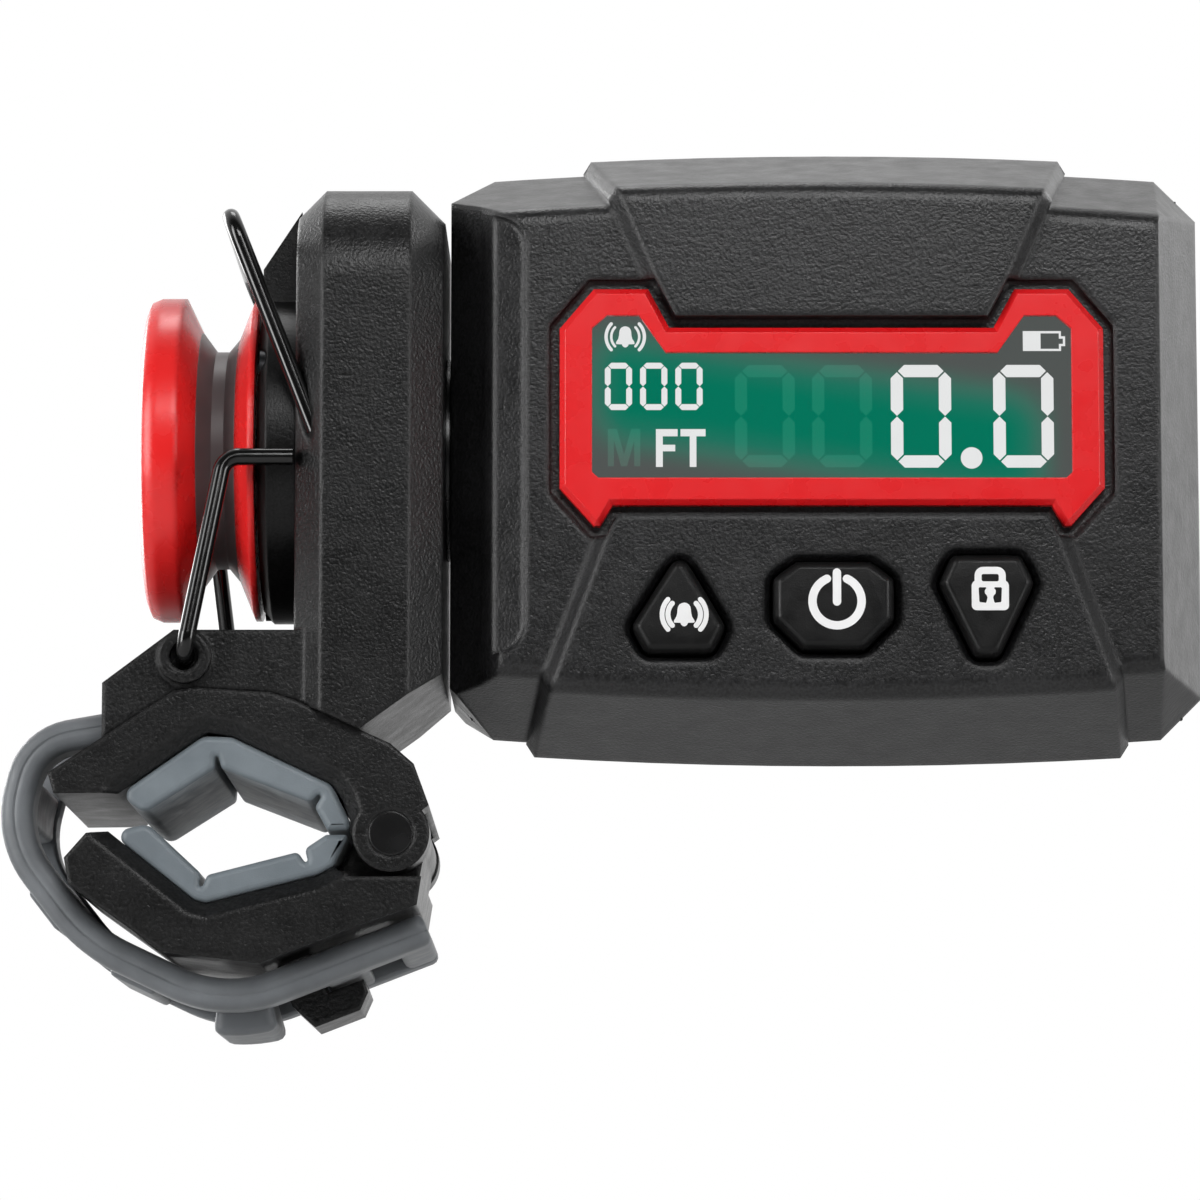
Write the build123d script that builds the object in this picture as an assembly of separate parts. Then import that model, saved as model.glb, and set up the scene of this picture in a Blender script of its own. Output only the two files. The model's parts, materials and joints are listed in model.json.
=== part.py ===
"""Digital line counter that clips to a fishing rod and measures line with a grooved wheel.

X runs to the right, Y away from the reader and Z up, all in millimetres.
The origin is the middle of the rod clamp, and the rod lies along Y.
"""
from build123d import *
import os
from math import atan2, degrees

# Shared clearances
cut_over = 1.0
running_gap = 0.04
slip_gap = 0.1
soft_gap = 0.3

# Rod clamp
grip_span = 20.0
jaw_depth = 33.0
jaw_edge = 1.3
liner_depth = 31.0
ear_thickness = 4.6
ear_radius = 3.3
knuckle_radius = 3.1
jaw_pin_x = 13.6
jaw_pin_z = -1.1
jaw_pin_radius = 1.5
jaw_pin_head_radius = 1.9
jaw_pin_head = 0.9
jaw_screw_x = -1.5
jaw_screw_spread = 18.0
jaw_screw_radius = 1.1
jaw_screw_head_radius = 2.0
jaw_screw_head = 1.3
jaw_screw_grip = 3.0

# Clamp outlines in front view, as shares of the grip span
upper_jaw_top_shares = (
    (-0.792, 0.205), (-0.256, 0.558), (-0.168, 0.572), (0.160, 0.552),
    (0.260, 0.520), (0.676, 0.331), (0.777, 0.243), (0.842, 0.066),
)
jaw_tip_share = (-0.766, 0.117)
upper_liner_outer_shares = (
    (-0.495, 0.120), (-0.132, 0.374), (-0.105, 0.384), (-0.005, 0.368), (0.424, 0.160),
    (0.468, 0.096), (0.505, -0.005), (0.500, -0.040),
)
upper_liner_inner_shares = ((0.405, -0.035), (0.342, 0.078), (-0.068, 0.236), (-0.380, 0.034))
lower_liner_outer_shares = (
    (0.500, -0.055), (0.432, -0.194), (0.364, -0.232), (-0.112, -0.351),
    (-0.162, -0.338), (-0.535, -0.042),
)
lower_liner_inner_shares = (
    (-0.366, -0.005), (-0.125, -0.232), (0.275, -0.121), (0.332, -0.162), (0.400, -0.050),
)
lower_jaw_outer_shares = (
    (-0.625, -0.054), (-0.718, -0.160), (-0.698, -0.274), (-0.294, -0.562),
    (0.119, -0.612), (0.492, -0.468), (0.792, -0.361), (0.811, -0.240), (0.500, -0.240),
)
knuckle_web_shares = ((0.520, -0.060), (0.450, -0.200), (0.400, -0.300), (0.780, -0.300), (0.830, -0.060))

# Ladder strap
strap_width = 26.0
strap_thickness = 2.8
strap_rail = 4.6
strap_bar = 4.4
strap_slot = 5.0
strap_end_bar = 3.0
strap_slot_count = 6
strap_bar_rise = 0.5
strap_grip_rise = 1.9
strap_bar_inset = 0.4
strap_eye_radius = 1.8
strap_pin_radius = 1.0
strap_pin_hold = 1.75
strap_path_shares = (
    (-0.420, 0.440), (-0.880, 0.360), (-0.980, -0.050), (-0.630, -0.500),
    (-0.040, -0.780), (0.830, -0.445),
)
strap_bend_shares = (0.25, 0.50, 0.70, 0.55)
hook_length = 3.2
hook_width = 11.6
hook_lip = 2.4
hook_lip_reach = 3.4

# Top of the shelf under the wheel, above the rod
shelf_top = 16.5

# Neck between the wheel and the display head
neck_left = 5.1
neck_width = 12.8
neck_side_margin = 1.7
neck_top_margin = 8.15
neck_corner = 9.0
neck_left_bevel = 2.4
neck_right_bevel = 2.9
neck_wall = 3.0
neck_cavity_radius = 11.0
neck_skirt_rise = 13.6
neck_skirt_left = 10.9
shelf_gap = 2.75
shelf_left = 11.3
shelf_drop = 4.6
shelf_step = 1.5

# Guard cap between the wheel and the neck
cap_width = 3.4
cap_overhang = 0.15
cap_spigot = 2.9
cap_spigot_wall = 1.5
cap_edge = 0.8
fairing_drop = 1.2
fairing_foot = 1.6
fairing_width = 12.0
cap_screw_count = 3
cap_screw_radius = 0.9
cap_screw_head_radius = 1.6
cap_screw_head = 1.2
cap_screw_length = 8.0

# Measuring wheel: its line groove is 60.9 mm round
wheel_gap = 0.3
wheel_width = 10.0
wheel_radius = 14.45
rim_width = 3.3
rim_round = 1.2
groove_radius = 9.7
groove_width = 1.1
tread_high_radius = 11.4
tread_low_radius = 10.9
flange_slope = 1.45
tread_slope = 1.25
inner_rim_width = 0.5
inner_slope = 1.4
barrel_radius = 7.4
web_dish = 0.8
web_dish_inner = 5.6
web_dish_outer = 12.0
magnet_count = 4
magnet_radius = 1.5
magnet_thickness = 1.0
axle_radius = 2.0
axle_head_radius = 3.6
axle_head = 1.1
bearing_radius = 4.0
bearing_width = 3.0
bearing_land_radius = 3.3
hub_recess = 1.6
hub_recess_radius = 5.0
wheel_screw_head = 1.2
wheel_screw_radius = 3.0
wheel_screw_thread = 1.2
wheel_screw_length = 6.0

# Line wires
wire_radius = 0.75
guard_side_gap = 0.6
gate_leg_gap = 0.35
eyelet_x = -4.2
eyelet_rise = 14.1
eyelet_radius = 2.3
eyelet_mouth_radius = 1.25
eyelet_mouth_depth = 1.2
eyelet_proud = 1.2
gate_top = -2.1
gate_elbow_x = -1.0
gate_rear_x = -2.9
gate_rear_rise = 20.5
gate_bend = 1.6
guard_low = 4.6
guard_top_gap = 4.95
guard_high_x = -0.7
guard_seat = 1.6
guard_bend = 2.4

# Swivel between neck and head
swivel_gap = 0.5
hub_radius = 7.0
hub_bore_radius = 4.6
hub_flange_radius = 9.6
hub_flange = 1.6
hub_tail = 1.8
ring_thickness = 0.8
ring_radius = 8.6
ring_groove_depth = 0.7
washer_thickness = 0.44
washer_radius = 9.0
washer_bore_radius = 7.3
seal_cord_radius = 0.6

# Display head
head_side_margin = 6.0
head_end_margin = 5.7
head_arch = 1.3
head_corner = 3.4
face_right_inset = 4.7
face_top_inset = 5.6
face_bottom_inset = 4.6
face_round = 1.6
side_half_depth = 9.2
side_ledge_inset = 2.7
side_ledge_y = -11.9
side_face_inset = 4.5
strip_face_inset = 6.6
strip_inset = 3.9
strip_step = 0.35
strip_depth = 1.0
strip_high = 19.3
strip_low = -19.0
strip_end = 2.6
face_y = -14.6
parting_y = -1.0
back_y = 14.4
back_bevel = 3.4
panel_rise = 1.3
panel_slope = 1.15
shell_wall = 2.2
buzzer_gap = 0.45
bay_corner = 6.6
case_screw_side = 0.9
case_screw_end = 1.6
case_screw_radius = 1.2
case_screw_head_radius = 2.3
case_screw_head = 1.8
case_screw_length = 21.0
case_screw_seat = 2.4
gasket_inset = 1.6
gasket_width = 1.0
gasket_thickness = 1.0

# Raised panels, bezel and window in front view, from the middle of the head
upper_panel_low = 10.3
upper_panel_low_half = 13.2
upper_panel_high = 28.5
upper_panel_high_half = 21.6
lower_panel_high = -7.4
lower_panel_high_half = 18.4
lower_panel_low = -28.5
lower_panel_low_half = 26.6
bezel_half_width = 23.6
bezel_front = -15.3
bezel_thickness = 1.5
bezel_gap = 0.9
bezel_edge = 0.5
bezel_outer_shares = (
    (0.874, 0.542), (0.674, 0.542), (0.597, 0.398), (-0.597, 0.398), (-0.674, 0.542),
    (-0.874, 0.542), (-1.0, 0.394), (-1.0, -0.199), (-0.874, -0.339), (-0.850, -0.339),
    (-0.806, -0.263), (0.806, -0.263), (0.850, -0.339), (0.874, -0.339), (1.0, -0.199), (1.0, 0.394),
)
window_shares = (
    (0.826, 0.441), (0.708, 0.441), (0.610, 0.303), (-0.610, 0.303), (-0.708, 0.441),
    (-0.826, 0.441), (-0.881, 0.394), (-0.881, -0.142), (-0.858, -0.163),
    (0.858, -0.163), (0.881, -0.142), (0.881, 0.394),
)
window_sink = 0.7
window_thickness = 1.2

# Display stack behind the window
lcd_lip = 0.4
backlight_side_share = 0.907
backlight_high_share = 0.466
backlight_low_share = -0.195
backlight_gap = 0.2
lcd_frame_wall = 1.2
stack_gap = 0.15
board_thickness = 1.6
board_side_gap = 1.9
board_end_gap = 0.6
board_corner_margin = 2.0
board_front_y = -7.2
board_chip = 5.2
board_chip_height = 0.8

# Buttons, from the middle of the head
button_pitch = 13.2
button_row_margin = 4.0
button_travel = 0.8
button_proud = 1.3
button_skirt = 0.45
button_gap = 0.25
well_mouth = 0.5
well_mouth_depth = 0.8
button_stem_radius = 2.0
button_flange = 0.8
button_flange_lip = 0.6
button_size = 4.75
button_corner = 0.5
alarm_shares = ((0.0, 0.84), (-0.78, -0.38), (-0.57, -0.76), (0.53, -0.76), (0.72, -0.38))
power_shares = (
    (-0.64, 0.72), (0.64, 0.72), (1.0, 0.46), (1.0, -0.22), (0.52, -0.70),
    (-0.52, -0.70), (-1.0, -0.22), (-1.0, 0.46),
)
lock_shares = ((-0.57, 0.84), (0.57, 0.84), (0.76, 0.42), (0.16, -0.84), (-0.16, -0.84), (-0.76, 0.42))
switch_size = 4.5
switch_height = 1.4

# Power supply behind the board
cell_radius = 5.25
cell_length = 44.5
cell_spread = 12.0
cell_y = 5.6
power_shift = 2.35
cell_nub_radius = 2.0
cell_nub = 1.0
contact_thickness = 0.6
contact_size = 8.0
contact_gap = 0.5
tray_wall = 1.1
bay_door_width = 52.0
bay_door_height = 27.0
bay_door_thickness = 1.6
bay_door_corner = 3.0
bay_seal_width = 1.2
bay_seal_thickness = 0.8
bay_mouth_margin = 2.4
door_screw_radius = 1.2
door_screw_head_radius = 2.2
door_screw_head = 1.0
door_screw_length = 3.4
door_screw_inset = 3.5
buzzer_radius = 3.0
buzzer_height = 2.2
buzzer_x = 12.0

# Sensor board in the neck
sensor_board_thickness = 1.0
sensor_board_gap = 0.3
sensor_chip = 2.6
sensor_chip_height = 1.2
sensor_chip_ring = 7.2
cable_radius = 0.9
cable_socket = 2.6
cable_socket_height = 1.6
cable_bend = 2.8
cable_drop = 1.7

# Places worked out from the sizes above
strap_pin_length = strap_width + 2 * strap_pin_hold
axis_rise = shelf_top + shelf_gap + wheel_radius
wire_reach = wheel_radius + wire_radius + guard_side_gap
neck_depth = 2 * (wire_reach + neck_side_margin)
neck_top = wheel_radius + neck_top_margin
shelf_depth = neck_depth - 2 * shelf_step
cap_radius = wheel_radius + cap_overhang
cap_screw_ring = (neck_cavity_radius + cap_radius) / 2
fairing_top = neck_top - fairing_drop
fairing_low = cap_radius + fairing_foot
guard_high = wheel_radius + guard_top_gap
tray_half_width = cell_length / 2 + slip_gap + contact_thickness + contact_gap + tray_wall
tray_half_height = cell_spread / 2 + cell_radius + slip_gap + tray_wall
bay_half_width = power_shift + tray_half_width + soft_gap
bay_half_height = tray_half_height + buzzer_gap + 2 * buzzer_radius + soft_gap
head_width = 2 * (bay_half_width + head_side_margin)
head_shoulder = bay_half_height + head_end_margin
case_screw_x = bay_half_width - case_screw_side
case_screw_z = bay_half_height - case_screw_end
button_drop = button_row_margin - bay_half_height
neck_right = neck_left + neck_width
head_left = neck_right + swivel_gap
head_x = head_left + head_width / 2
cap_left = neck_left - cap_width
wheel_right = cap_left - wheel_gap
wheel_left = wheel_right - wheel_width
wire_low_reach = shelf_depth / 2 + eyelet_proud + wire_radius + gate_leg_gap
panel_y = face_y - panel_rise
bay_front_y = face_y + shell_wall
bay_back_y = back_y - shell_wall
bay_left = head_x - bay_half_width
power_x = head_x + power_shift
window_front_y = bezel_front + window_sink
window_back_y = window_front_y + window_thickness
lcd_front_y = window_back_y + slip_gap
lcd_back_y = bay_front_y + stack_gap
backlight_front_y = lcd_back_y + stack_gap
backlight_back_y = board_front_y - backlight_gap
board_back_y = board_front_y + board_thickness
button_front_y = panel_y - button_proud
button_back_y = board_front_y - switch_height - button_travel - slip_gap / 2


def grip(shares):
    """Points of a clamp outline."""
    return [(x * grip_span, z * grip_span) for x, z in shares]


def sketch_plate(sketch, near, far):
    """Front-view sketch made into a plate between two depths."""
    return extrude(Plane.XZ.offset(-near) * sketch, amount=far - near, dir=(0, 1, 0))


def plate(points, near, far):
    """Front-view outline made into a plate between two depths."""
    return sketch_plate(Polygon(*points, align=None), near, far)


def rod_y(x, z, radius, near, far):
    """Round bar along Y."""
    return sketch_plate(Pos(x, z) * Circle(radius), near, far)


def disc(left, right, radius, bore=0, y=0, z=0):
    """Round bar or ring along X, placed from the wheel axis."""
    shape = Circle(radius) - Circle(bore) if bore else Circle(radius)
    return extrude(Plane.YZ.offset(left) * Pos(y, axis_rise + z) * shape, amount=right - left, dir=(1, 0, 0))


def block(x, y, z):
    """Box between pairs of limits."""
    middle = [(a + b) / 2 for a, b in (x, y, z)]
    return Pos(*middle) * Box(x[1] - x[0], y[1] - y[0], z[1] - z[0])


def turned(profile):
    """Ring turned about the wheel axis from (x, radius) points."""
    return Pos(0, 0, axis_rise) * revolve(Polygon(*profile, align=None), Axis.X)


def wire(points, bends, radius):
    """Bent wire through points, with one radius for each bend."""
    path = FilletPolyline(*points, radius=bends)
    section = Plane(origin=path @ 0, z_dir=path % 0) * Circle(radius)
    return sweep(section, path=path)


def spun(shape, count, first=0):
    """Copies of a shape round the wheel axis."""
    axis = Axis((0, 0, axis_rise), (1, 0, 0))
    return [shape.rotate(axis, first + 360 * i / count) for i in range(count)]


def head_points(pairs, size=1):
    """Front-view points measured from the middle of the head."""
    return [(head_x + x * size, axis_rise + z * size) for x, z in pairs]


# Clamp pieces
def strap_path():
    """Middle line of the strap in front view, from its eye to its free end."""
    points = grip(strap_path_shares)
    return FilletPolyline(*points, radius=[share * grip_span for share in strap_bend_shares])


def strap_ribbon(extra, width):
    """Strap without its slots, grown by a clearance."""
    lane = trace(strap_path(), line_width=strap_thickness + 2 * extra)
    half = width / 2 + extra
    return sketch_plate(lane, -half, half)


def strap_pocket():
    """Room for the strap's end, its eye and its pin in the mouldings that hold them."""
    eye_x, eye_z = grip(strap_path_shares)[0]
    half = strap_width / 2 + soft_gap
    eye = rod_y(eye_x, eye_z, strap_eye_radius + soft_gap, -half, half)
    pin_half = strap_pin_length / 2 + slip_gap
    pin = rod_y(eye_x, eye_z, strap_pin_radius + running_gap, -pin_half, pin_half)
    return strap_ribbon(soft_gap, strap_width) + eye + pin


def make_strap():
    """Rubber ladder strap: two rails joined by bars, with an eye at its pin."""
    path = strap_path()
    eye_x, eye_z = grip(strap_path_shares)[0]
    half = strap_width / 2
    body = strap_ribbon(0, strap_width) + rod_y(eye_x, eye_z, strap_eye_radius, -half, half)
    body -= rod_y(eye_x, eye_z, strap_pin_radius + running_gap, -half - cut_over, half + cut_over)
    slot_width = strap_width - 2 * strap_rail
    centres = slot_centres(path.length)
    for centre in centres:
        body -= strap_cut(path, centre, strap_slot, slot_width)
    rises = [strap_grip_rise] + [strap_bar_rise] * (len(centres) - 3)
    for centre, rise in zip(centres, rises):
        bar = Box(strap_bar - 2 * strap_bar_inset, slot_width, rise + strap_thickness / 2)
        middle = -(rise + strap_thickness / 2) / 2
        body += strap_frame(path, centre - (strap_slot + strap_bar) / 2) * Pos(0, 0, middle) * bar
    return body


def slot_centres(length):
    """Distances along the strap to the middle of each slot."""
    pitch = strap_slot + strap_bar
    last = length - strap_end_bar - strap_bar - strap_slot * 1.5 + strap_slot / 2
    return [last - i * pitch for i in range(strap_slot_count)]


def strap_frame(path, distance):
    """Local axes on the strap: X along it, Z across its thickness towards the rod."""
    share = distance / path.length
    place, along = path @ share, path % share
    turn = degrees(atan2(along.Y, along.X))
    return Pos(place.X, 0, place.Y) * Rot(0, -turn, 0)


def strap_cut(path, distance, length, width):
    """Block that opens one slot."""
    return strap_frame(path, distance) * Box(length, width, strap_thickness * 3)


def hook_station(path):
    """Distance along the strap to the middle of the hook's stem."""
    end_of_slot = slot_centres(path.length)[0] + strap_slot / 2
    return end_of_slot - soft_gap - hook_length / 2


def make_hook():
    """Hook on the lower jaw that the strap's slot slips over."""
    path = strap_path()
    place = strap_frame(path, hook_station(path))
    root = strap_thickness / 2 + strap_slot / 2
    tip = strap_thickness / 2 + soft_gap
    stem = Pos(0, 0, (root - tip) / 2) * Box(hook_length, hook_width, root + tip)
    left, right = -hook_length / 2, hook_length / 2 + hook_lip_reach
    lip_outline = [
        (left, -tip), (right, -tip), (right, -tip - hook_lip / 2),
        (right - hook_lip / 2, -tip - hook_lip), (left + hook_lip / 2, -tip - hook_lip),
    ]
    lip = plate(lip_outline, -hook_width / 2, hook_width / 2)
    return place * (stem + lip)


def jaw_pin_hole(radius, near, far):
    """Cutter along the jaw pin."""
    return rod_y(jaw_pin_x, jaw_pin_z, radius, near, far)


def make_upper_jaw():
    """Fixed jaw: a bent plate over the rod with an ear at each end of the pin."""
    half = jaw_depth / 2
    pin = (jaw_pin_x, jaw_pin_z)
    top = grip(upper_jaw_top_shares)
    seat = grip(upper_liner_outer_shares)
    body = plate(top + [pin] + seat[::-1] + grip([jaw_tip_share]), -half, half)
    body -= rod_flares(half)
    body += rod_y(*pin, ear_radius, -half, half)
    inner = half - ear_thickness
    body -= rod_y(*pin, ear_radius + slip_gap * 2, -inner, inner)
    body -= jaw_pin_hole(jaw_pin_radius + running_gap / 2, -half - cut_over, half + cut_over)
    head = jaw_pin_head_radius + running_gap
    body -= jaw_pin_hole(head, -half - cut_over, -half + jaw_pin_head + running_gap)
    body -= strap_pocket()
    return body - jaw_screws(running_gap)


def rod_flares(half):
    """Bevels round the rod side of the jaws, at the front and the back."""
    outline = Polygon(*grip(upper_liner_outer_shares + lower_liner_outer_shares), align=None)
    wide = offset(outline, amount=jaw_edge, kind=Kind.INTERSECTION)
    flares = []
    for side in (-1, 1):
        mouth = Plane.XZ.offset(-side * half) * wide
        throat = Plane.XZ.offset(-side * (half - jaw_edge)) * outline
        flares.append(loft([mouth, throat], ruled=True))
    return flares


def jaw_screws(extra=0):
    """Two screws up through the upper jaw into the neck moulding."""
    seat_z = max(z for _, z in grip(upper_liner_outer_shares))
    under = seat_z + slip_gap
    body = []
    for side in (-1, 1):
        place = Pos(jaw_screw_x, side * jaw_screw_spread / 2, under)
        head = Pos(0, 0, jaw_screw_head / 2) * Cylinder(jaw_screw_head_radius + extra, jaw_screw_head)
        length = jaw_screw_head + jaw_screw_grip + jaw_screw_grip
        shank = Pos(0, 0, length / 2) * Cylinder(jaw_screw_radius + extra, length + 2 * extra)
        screw = head + shank
        if extra:
            screw += Pos(0, 0, -cut_over / 2) * Cylinder(jaw_screw_head_radius + extra, cut_over)
        body.append(place * screw)
    return body


def make_lower_jaw():
    """Hinged jaw: a curved trough under the rod with a knuckle on the pin and the strap hook."""
    half = jaw_depth / 2
    seat = grip(lower_liner_outer_shares)[1:]
    body = plate(grip(lower_jaw_outer_shares) + seat, -half, half)
    body -= rod_flares(half)
    inner = half - ear_thickness - slip_gap
    body += rod_y(jaw_pin_x, jaw_pin_z, knuckle_radius, -inner, inner)
    body += plate(grip(knuckle_web_shares), -inner, inner)
    body -= jaw_pin_hole(jaw_pin_radius + running_gap, -half, half)
    return body + make_hook()


def make_jaw_pin():
    """Hinge pin with a flat head at the front."""
    half = jaw_depth / 2
    body = jaw_pin_hole(jaw_pin_radius, -half + jaw_pin_head / 2, half)
    return body + jaw_pin_hole(jaw_pin_head_radius, -half, -half + jaw_pin_head)


def make_liner(outer_shares, inner_shares):
    """Rubber liner that lies on a jaw's rod side."""
    half = liner_depth / 2
    return plate(grip(outer_shares) + grip(inner_shares), -half, half)


def make_strap_pin():
    """Pin through the strap's eye, held between the jaw and the neck."""
    eye_x, eye_z = grip(strap_path_shares)[0]
    return rod_y(eye_x, eye_z, strap_pin_radius, -strap_pin_length / 2, strap_pin_length / 2)


# Neck pieces
def neck_seam():
    """Lower edge of the neck moulding, which sits on the upper jaw."""
    top = grip(upper_jaw_top_shares)
    x, z = along_segment(top[4], top[5], neck_skirt_left)
    return top[1:5] + [(x, z)]


def along_segment(start, end, x):
    """Point of a front-view segment at a given X."""
    share = (x - start[0]) / (end[0] - start[0])
    return x, start[1] + share * (end[1] - start[1])


def neck_drum():
    """Flat-sided drum with bevelled faces, before it is cut."""
    low = -axis_rise - neck_corner
    half = neck_depth / 2
    outline = make_face(FilletPolyline(
        (-half, low), (half, low), (half, neck_top), (-half, neck_top), radius=neck_corner, close=True))
    start = Plane.YZ.offset(neck_left) * Pos(0, axis_rise)
    drum = extrude(start * outline, amount=neck_width, dir=(1, 0, 0))
    drum = chamfer(drum.faces().sort_by(Axis.X)[0].edges(), neck_left_bevel)
    return chamfer(drum.faces().sort_by(Axis.X)[-1].edges(), neck_right_bevel)


def make_neck_body():
    """Neck moulding: drum, shelf under the wheel and eyelet for the line gate."""
    seam = neck_seam()
    depth = neck_depth
    under = [*seam, (neck_right + cut_over, neck_skirt_rise)]
    under += [(neck_right + cut_over, -axis_rise), (seam[0][0], -axis_rise)]
    drum = neck_drum() - plate(under, -depth, depth)
    jaw_top = grip(upper_jaw_top_shares)
    corner = along_segment(jaw_top[0], jaw_top[1], -shelf_left)
    shelf_outline = [
        (neck_left + neck_left_bevel + cut_over, shelf_top), (eyelet_x - cut_over, shelf_top),
        (-shelf_left, shelf_top - shelf_drop), corner, *seam,
    ]
    half = shelf_depth / 2
    body = drum + plate(shelf_outline, -half, half)
    front = -half - eyelet_proud
    body += rod_y(eyelet_x, eyelet_rise, eyelet_radius, front, half)
    body -= rod_y(eyelet_x, eyelet_rise, wire_radius + running_gap, -depth, depth)
    body -= rod_y(eyelet_x, eyelet_rise, eyelet_mouth_radius, -depth, front + eyelet_mouth_depth)
    body -= disc(neck_left - cut_over, neck_right - neck_wall, neck_cavity_radius)
    body -= disc(neck_left, neck_right + cut_over, hub_radius + running_gap)
    body -= seal_groove()
    body -= line_guard(running_gap)
    body -= strap_pocket()
    body -= jaw_screws(running_gap)
    return body - cap_screws(running_gap)


def seal_groove():
    """Groove for the swivel seal in the neck's right wall."""
    middle = neck_right - neck_wall / 2
    reach = seal_cord_radius + slip_gap
    return disc(middle - reach, middle + reach, hub_radius + 2 * reach + running_gap)


def cap_screws(extra=0):
    """Screws that hold the guard cap on the neck."""
    left = cap_left + slip_gap
    mouth = cut_over if extra else 0
    head = disc(left - mouth, left + cap_screw_head + extra, cap_screw_head_radius + extra, z=cap_screw_ring)
    shank = disc(left, cap_left + cap_screw_length + extra, cap_screw_radius + extra, z=cap_screw_ring)
    return spun(head + shank, cap_screw_count, 180)


def make_neck_cap():
    """Round guard beside the wheel, with the fairing above it and a spigot in the neck."""
    body = disc(cap_left, neck_left, cap_radius)
    body = chamfer(body.faces().sort_by(Axis.X)[0].edges(), cap_edge)
    half = fairing_width / 2
    low = axis_rise + fairing_low
    fairing = plate([
        (neck_left, axis_rise + fairing_top), (cap_left, low), (cap_left, axis_rise), (neck_left, axis_rise),
    ], -half, half)
    body += fairing
    body += disc(neck_left, neck_left + cap_spigot, neck_cavity_radius - running_gap,
                 neck_cavity_radius - cap_spigot_wall)
    body -= disc(cap_left - cut_over, neck_left + cut_over, axle_radius + running_gap / 2)
    body -= line_guard(running_gap)
    return body - cap_screws(running_gap)


def make_sensor_board():
    """Round board behind the cap, with its sensing chip and its cable socket."""
    left = neck_left + cap_spigot
    right = left + sensor_board_thickness
    body = disc(left, right, neck_cavity_radius - sensor_board_gap)
    half = sensor_chip / 2
    chip = block((left - sensor_chip_height, left), (-half, half),
                 (axis_rise + sensor_chip_ring - half, axis_rise + sensor_chip_ring + half))
    socket = cable_socket / 2
    plug = block((right, right + cable_socket_height), (-socket, socket),
                 (axis_rise - socket, axis_rise + socket))
    return body + chip + plug


# Wheel pieces
def make_outer_flange():
    """Outer flange with the barrel that carries the tread, the inner flange and the bearings."""
    slope_left = wheel_left + rim_width
    tread_left = slope_left + flange_slope
    right = wheel_right - slip_gap
    bore = bearing_radius + running_gap / 2
    right_land = right_bearing() - slip_gap
    left_land = left_bearing() + bearing_width
    lip = rim_round * 0.3
    profile = [
        (wheel_left, web_dish_inner), (wheel_left + web_dish, web_dish_inner + web_dish),
        (wheel_left + web_dish, web_dish_outer - web_dish), (wheel_left, web_dish_outer),
        (wheel_left, wheel_radius - rim_round),
        (wheel_left + lip, wheel_radius - lip),
        (wheel_left + rim_round, wheel_radius), (slope_left, wheel_radius),
        (tread_left, tread_high_radius), (tread_left, barrel_radius), (right, barrel_radius),
        (right, bore), (right_land, bore), (right_land, bearing_land_radius),
        (left_land, bearing_land_radius), (left_land, bore), (wheel_left + hub_recess, bore),
        (wheel_left + hub_recess, hub_recess_radius), (wheel_left, hub_recess_radius),
    ]
    return turned(profile)


def left_bearing():
    """Left end of the outer bearing."""
    return wheel_left + hub_recess + slip_gap


def right_bearing():
    """Left end of the inner bearing."""
    return wheel_right - slip_gap - bearing_width - slip_gap


def make_groove_ring():
    """Grey tread with the groove that the line runs in."""
    left = wheel_left + rim_width + flange_slope
    floor_left = left + tread_slope
    floor_right = floor_left + groove_width
    right = wheel_right - inner_rim_width - inner_slope
    profile = [
        (left, barrel_radius + running_gap), (left, tread_high_radius), (floor_left, groove_radius),
        (floor_right, groove_radius), (right, tread_low_radius), (right, barrel_radius + running_gap),
    ]
    return turned(profile)


def make_inner_flange():
    """Inner flange, which slips over the barrel and holds the magnets."""
    left = wheel_right - inner_rim_width - inner_slope
    rim_left = wheel_right - inner_rim_width
    profile = [
        (left, barrel_radius + running_gap), (left, tread_low_radius),
        (rim_left, wheel_radius - slip_gap), (wheel_right, wheel_radius - slip_gap),
        (wheel_right, barrel_radius + running_gap),
    ]
    return turned(profile) - wheel_magnets(running_gap)


def wheel_magnets(extra=0):
    """Small magnets in the inner flange that the sensor counts."""
    magnet = disc(wheel_right - magnet_thickness - extra, wheel_right + extra * 2, magnet_radius + extra,
                  z=(barrel_radius + tread_low_radius) / 2)
    return spun(magnet, magnet_count)


def make_bearing(left):
    """Wheel bearing."""
    body = disc(left, left + bearing_width, bearing_radius, axle_radius + running_gap)
    return chamfer(body.edges(), slip_gap)


def make_axle():
    """Axle with its head behind the cap and a threaded outer end."""
    left = axle_end()
    body = disc(left, neck_left, axle_radius) + disc(neck_left, neck_left + axle_head, axle_head_radius)
    depth = wheel_screw_length + slip_gap
    return body - disc(left - cut_over, left + depth, wheel_screw_thread + running_gap)


def axle_end():
    """Outer end of the axle, just past the outer bearing."""
    return left_bearing() - slip_gap / 2


def make_wheel_screw():
    """Pan-head screw in the axle's end."""
    left = axle_end()
    head = disc(left - wheel_screw_head, left, wheel_screw_radius)
    head = chamfer(head.faces().sort_by(Axis.X)[0].edges(), wheel_screw_head / 3)
    return head + disc(left, left + wheel_screw_length, wheel_screw_thread)


# Line wires
def line_guard(extra=0):
    """Wire loop over the wheel, seated in the neck's front and back edges."""
    x_seat = neck_left + neck_left_bevel + guard_seat
    rise = (guard_high - guard_low) / (neck_left - guard_high_x)
    seat_z = axis_rise + guard_low - rise * (x_seat - neck_left)
    top_z = axis_rise + guard_high
    points = [
        (x_seat, -wire_reach, seat_z), (guard_high_x, -wire_reach, top_z),
        (guard_high_x, wire_reach, top_z), (x_seat, wire_reach, seat_z),
    ]
    return wire(points, [guard_bend, guard_bend], wire_radius + extra)


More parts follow.
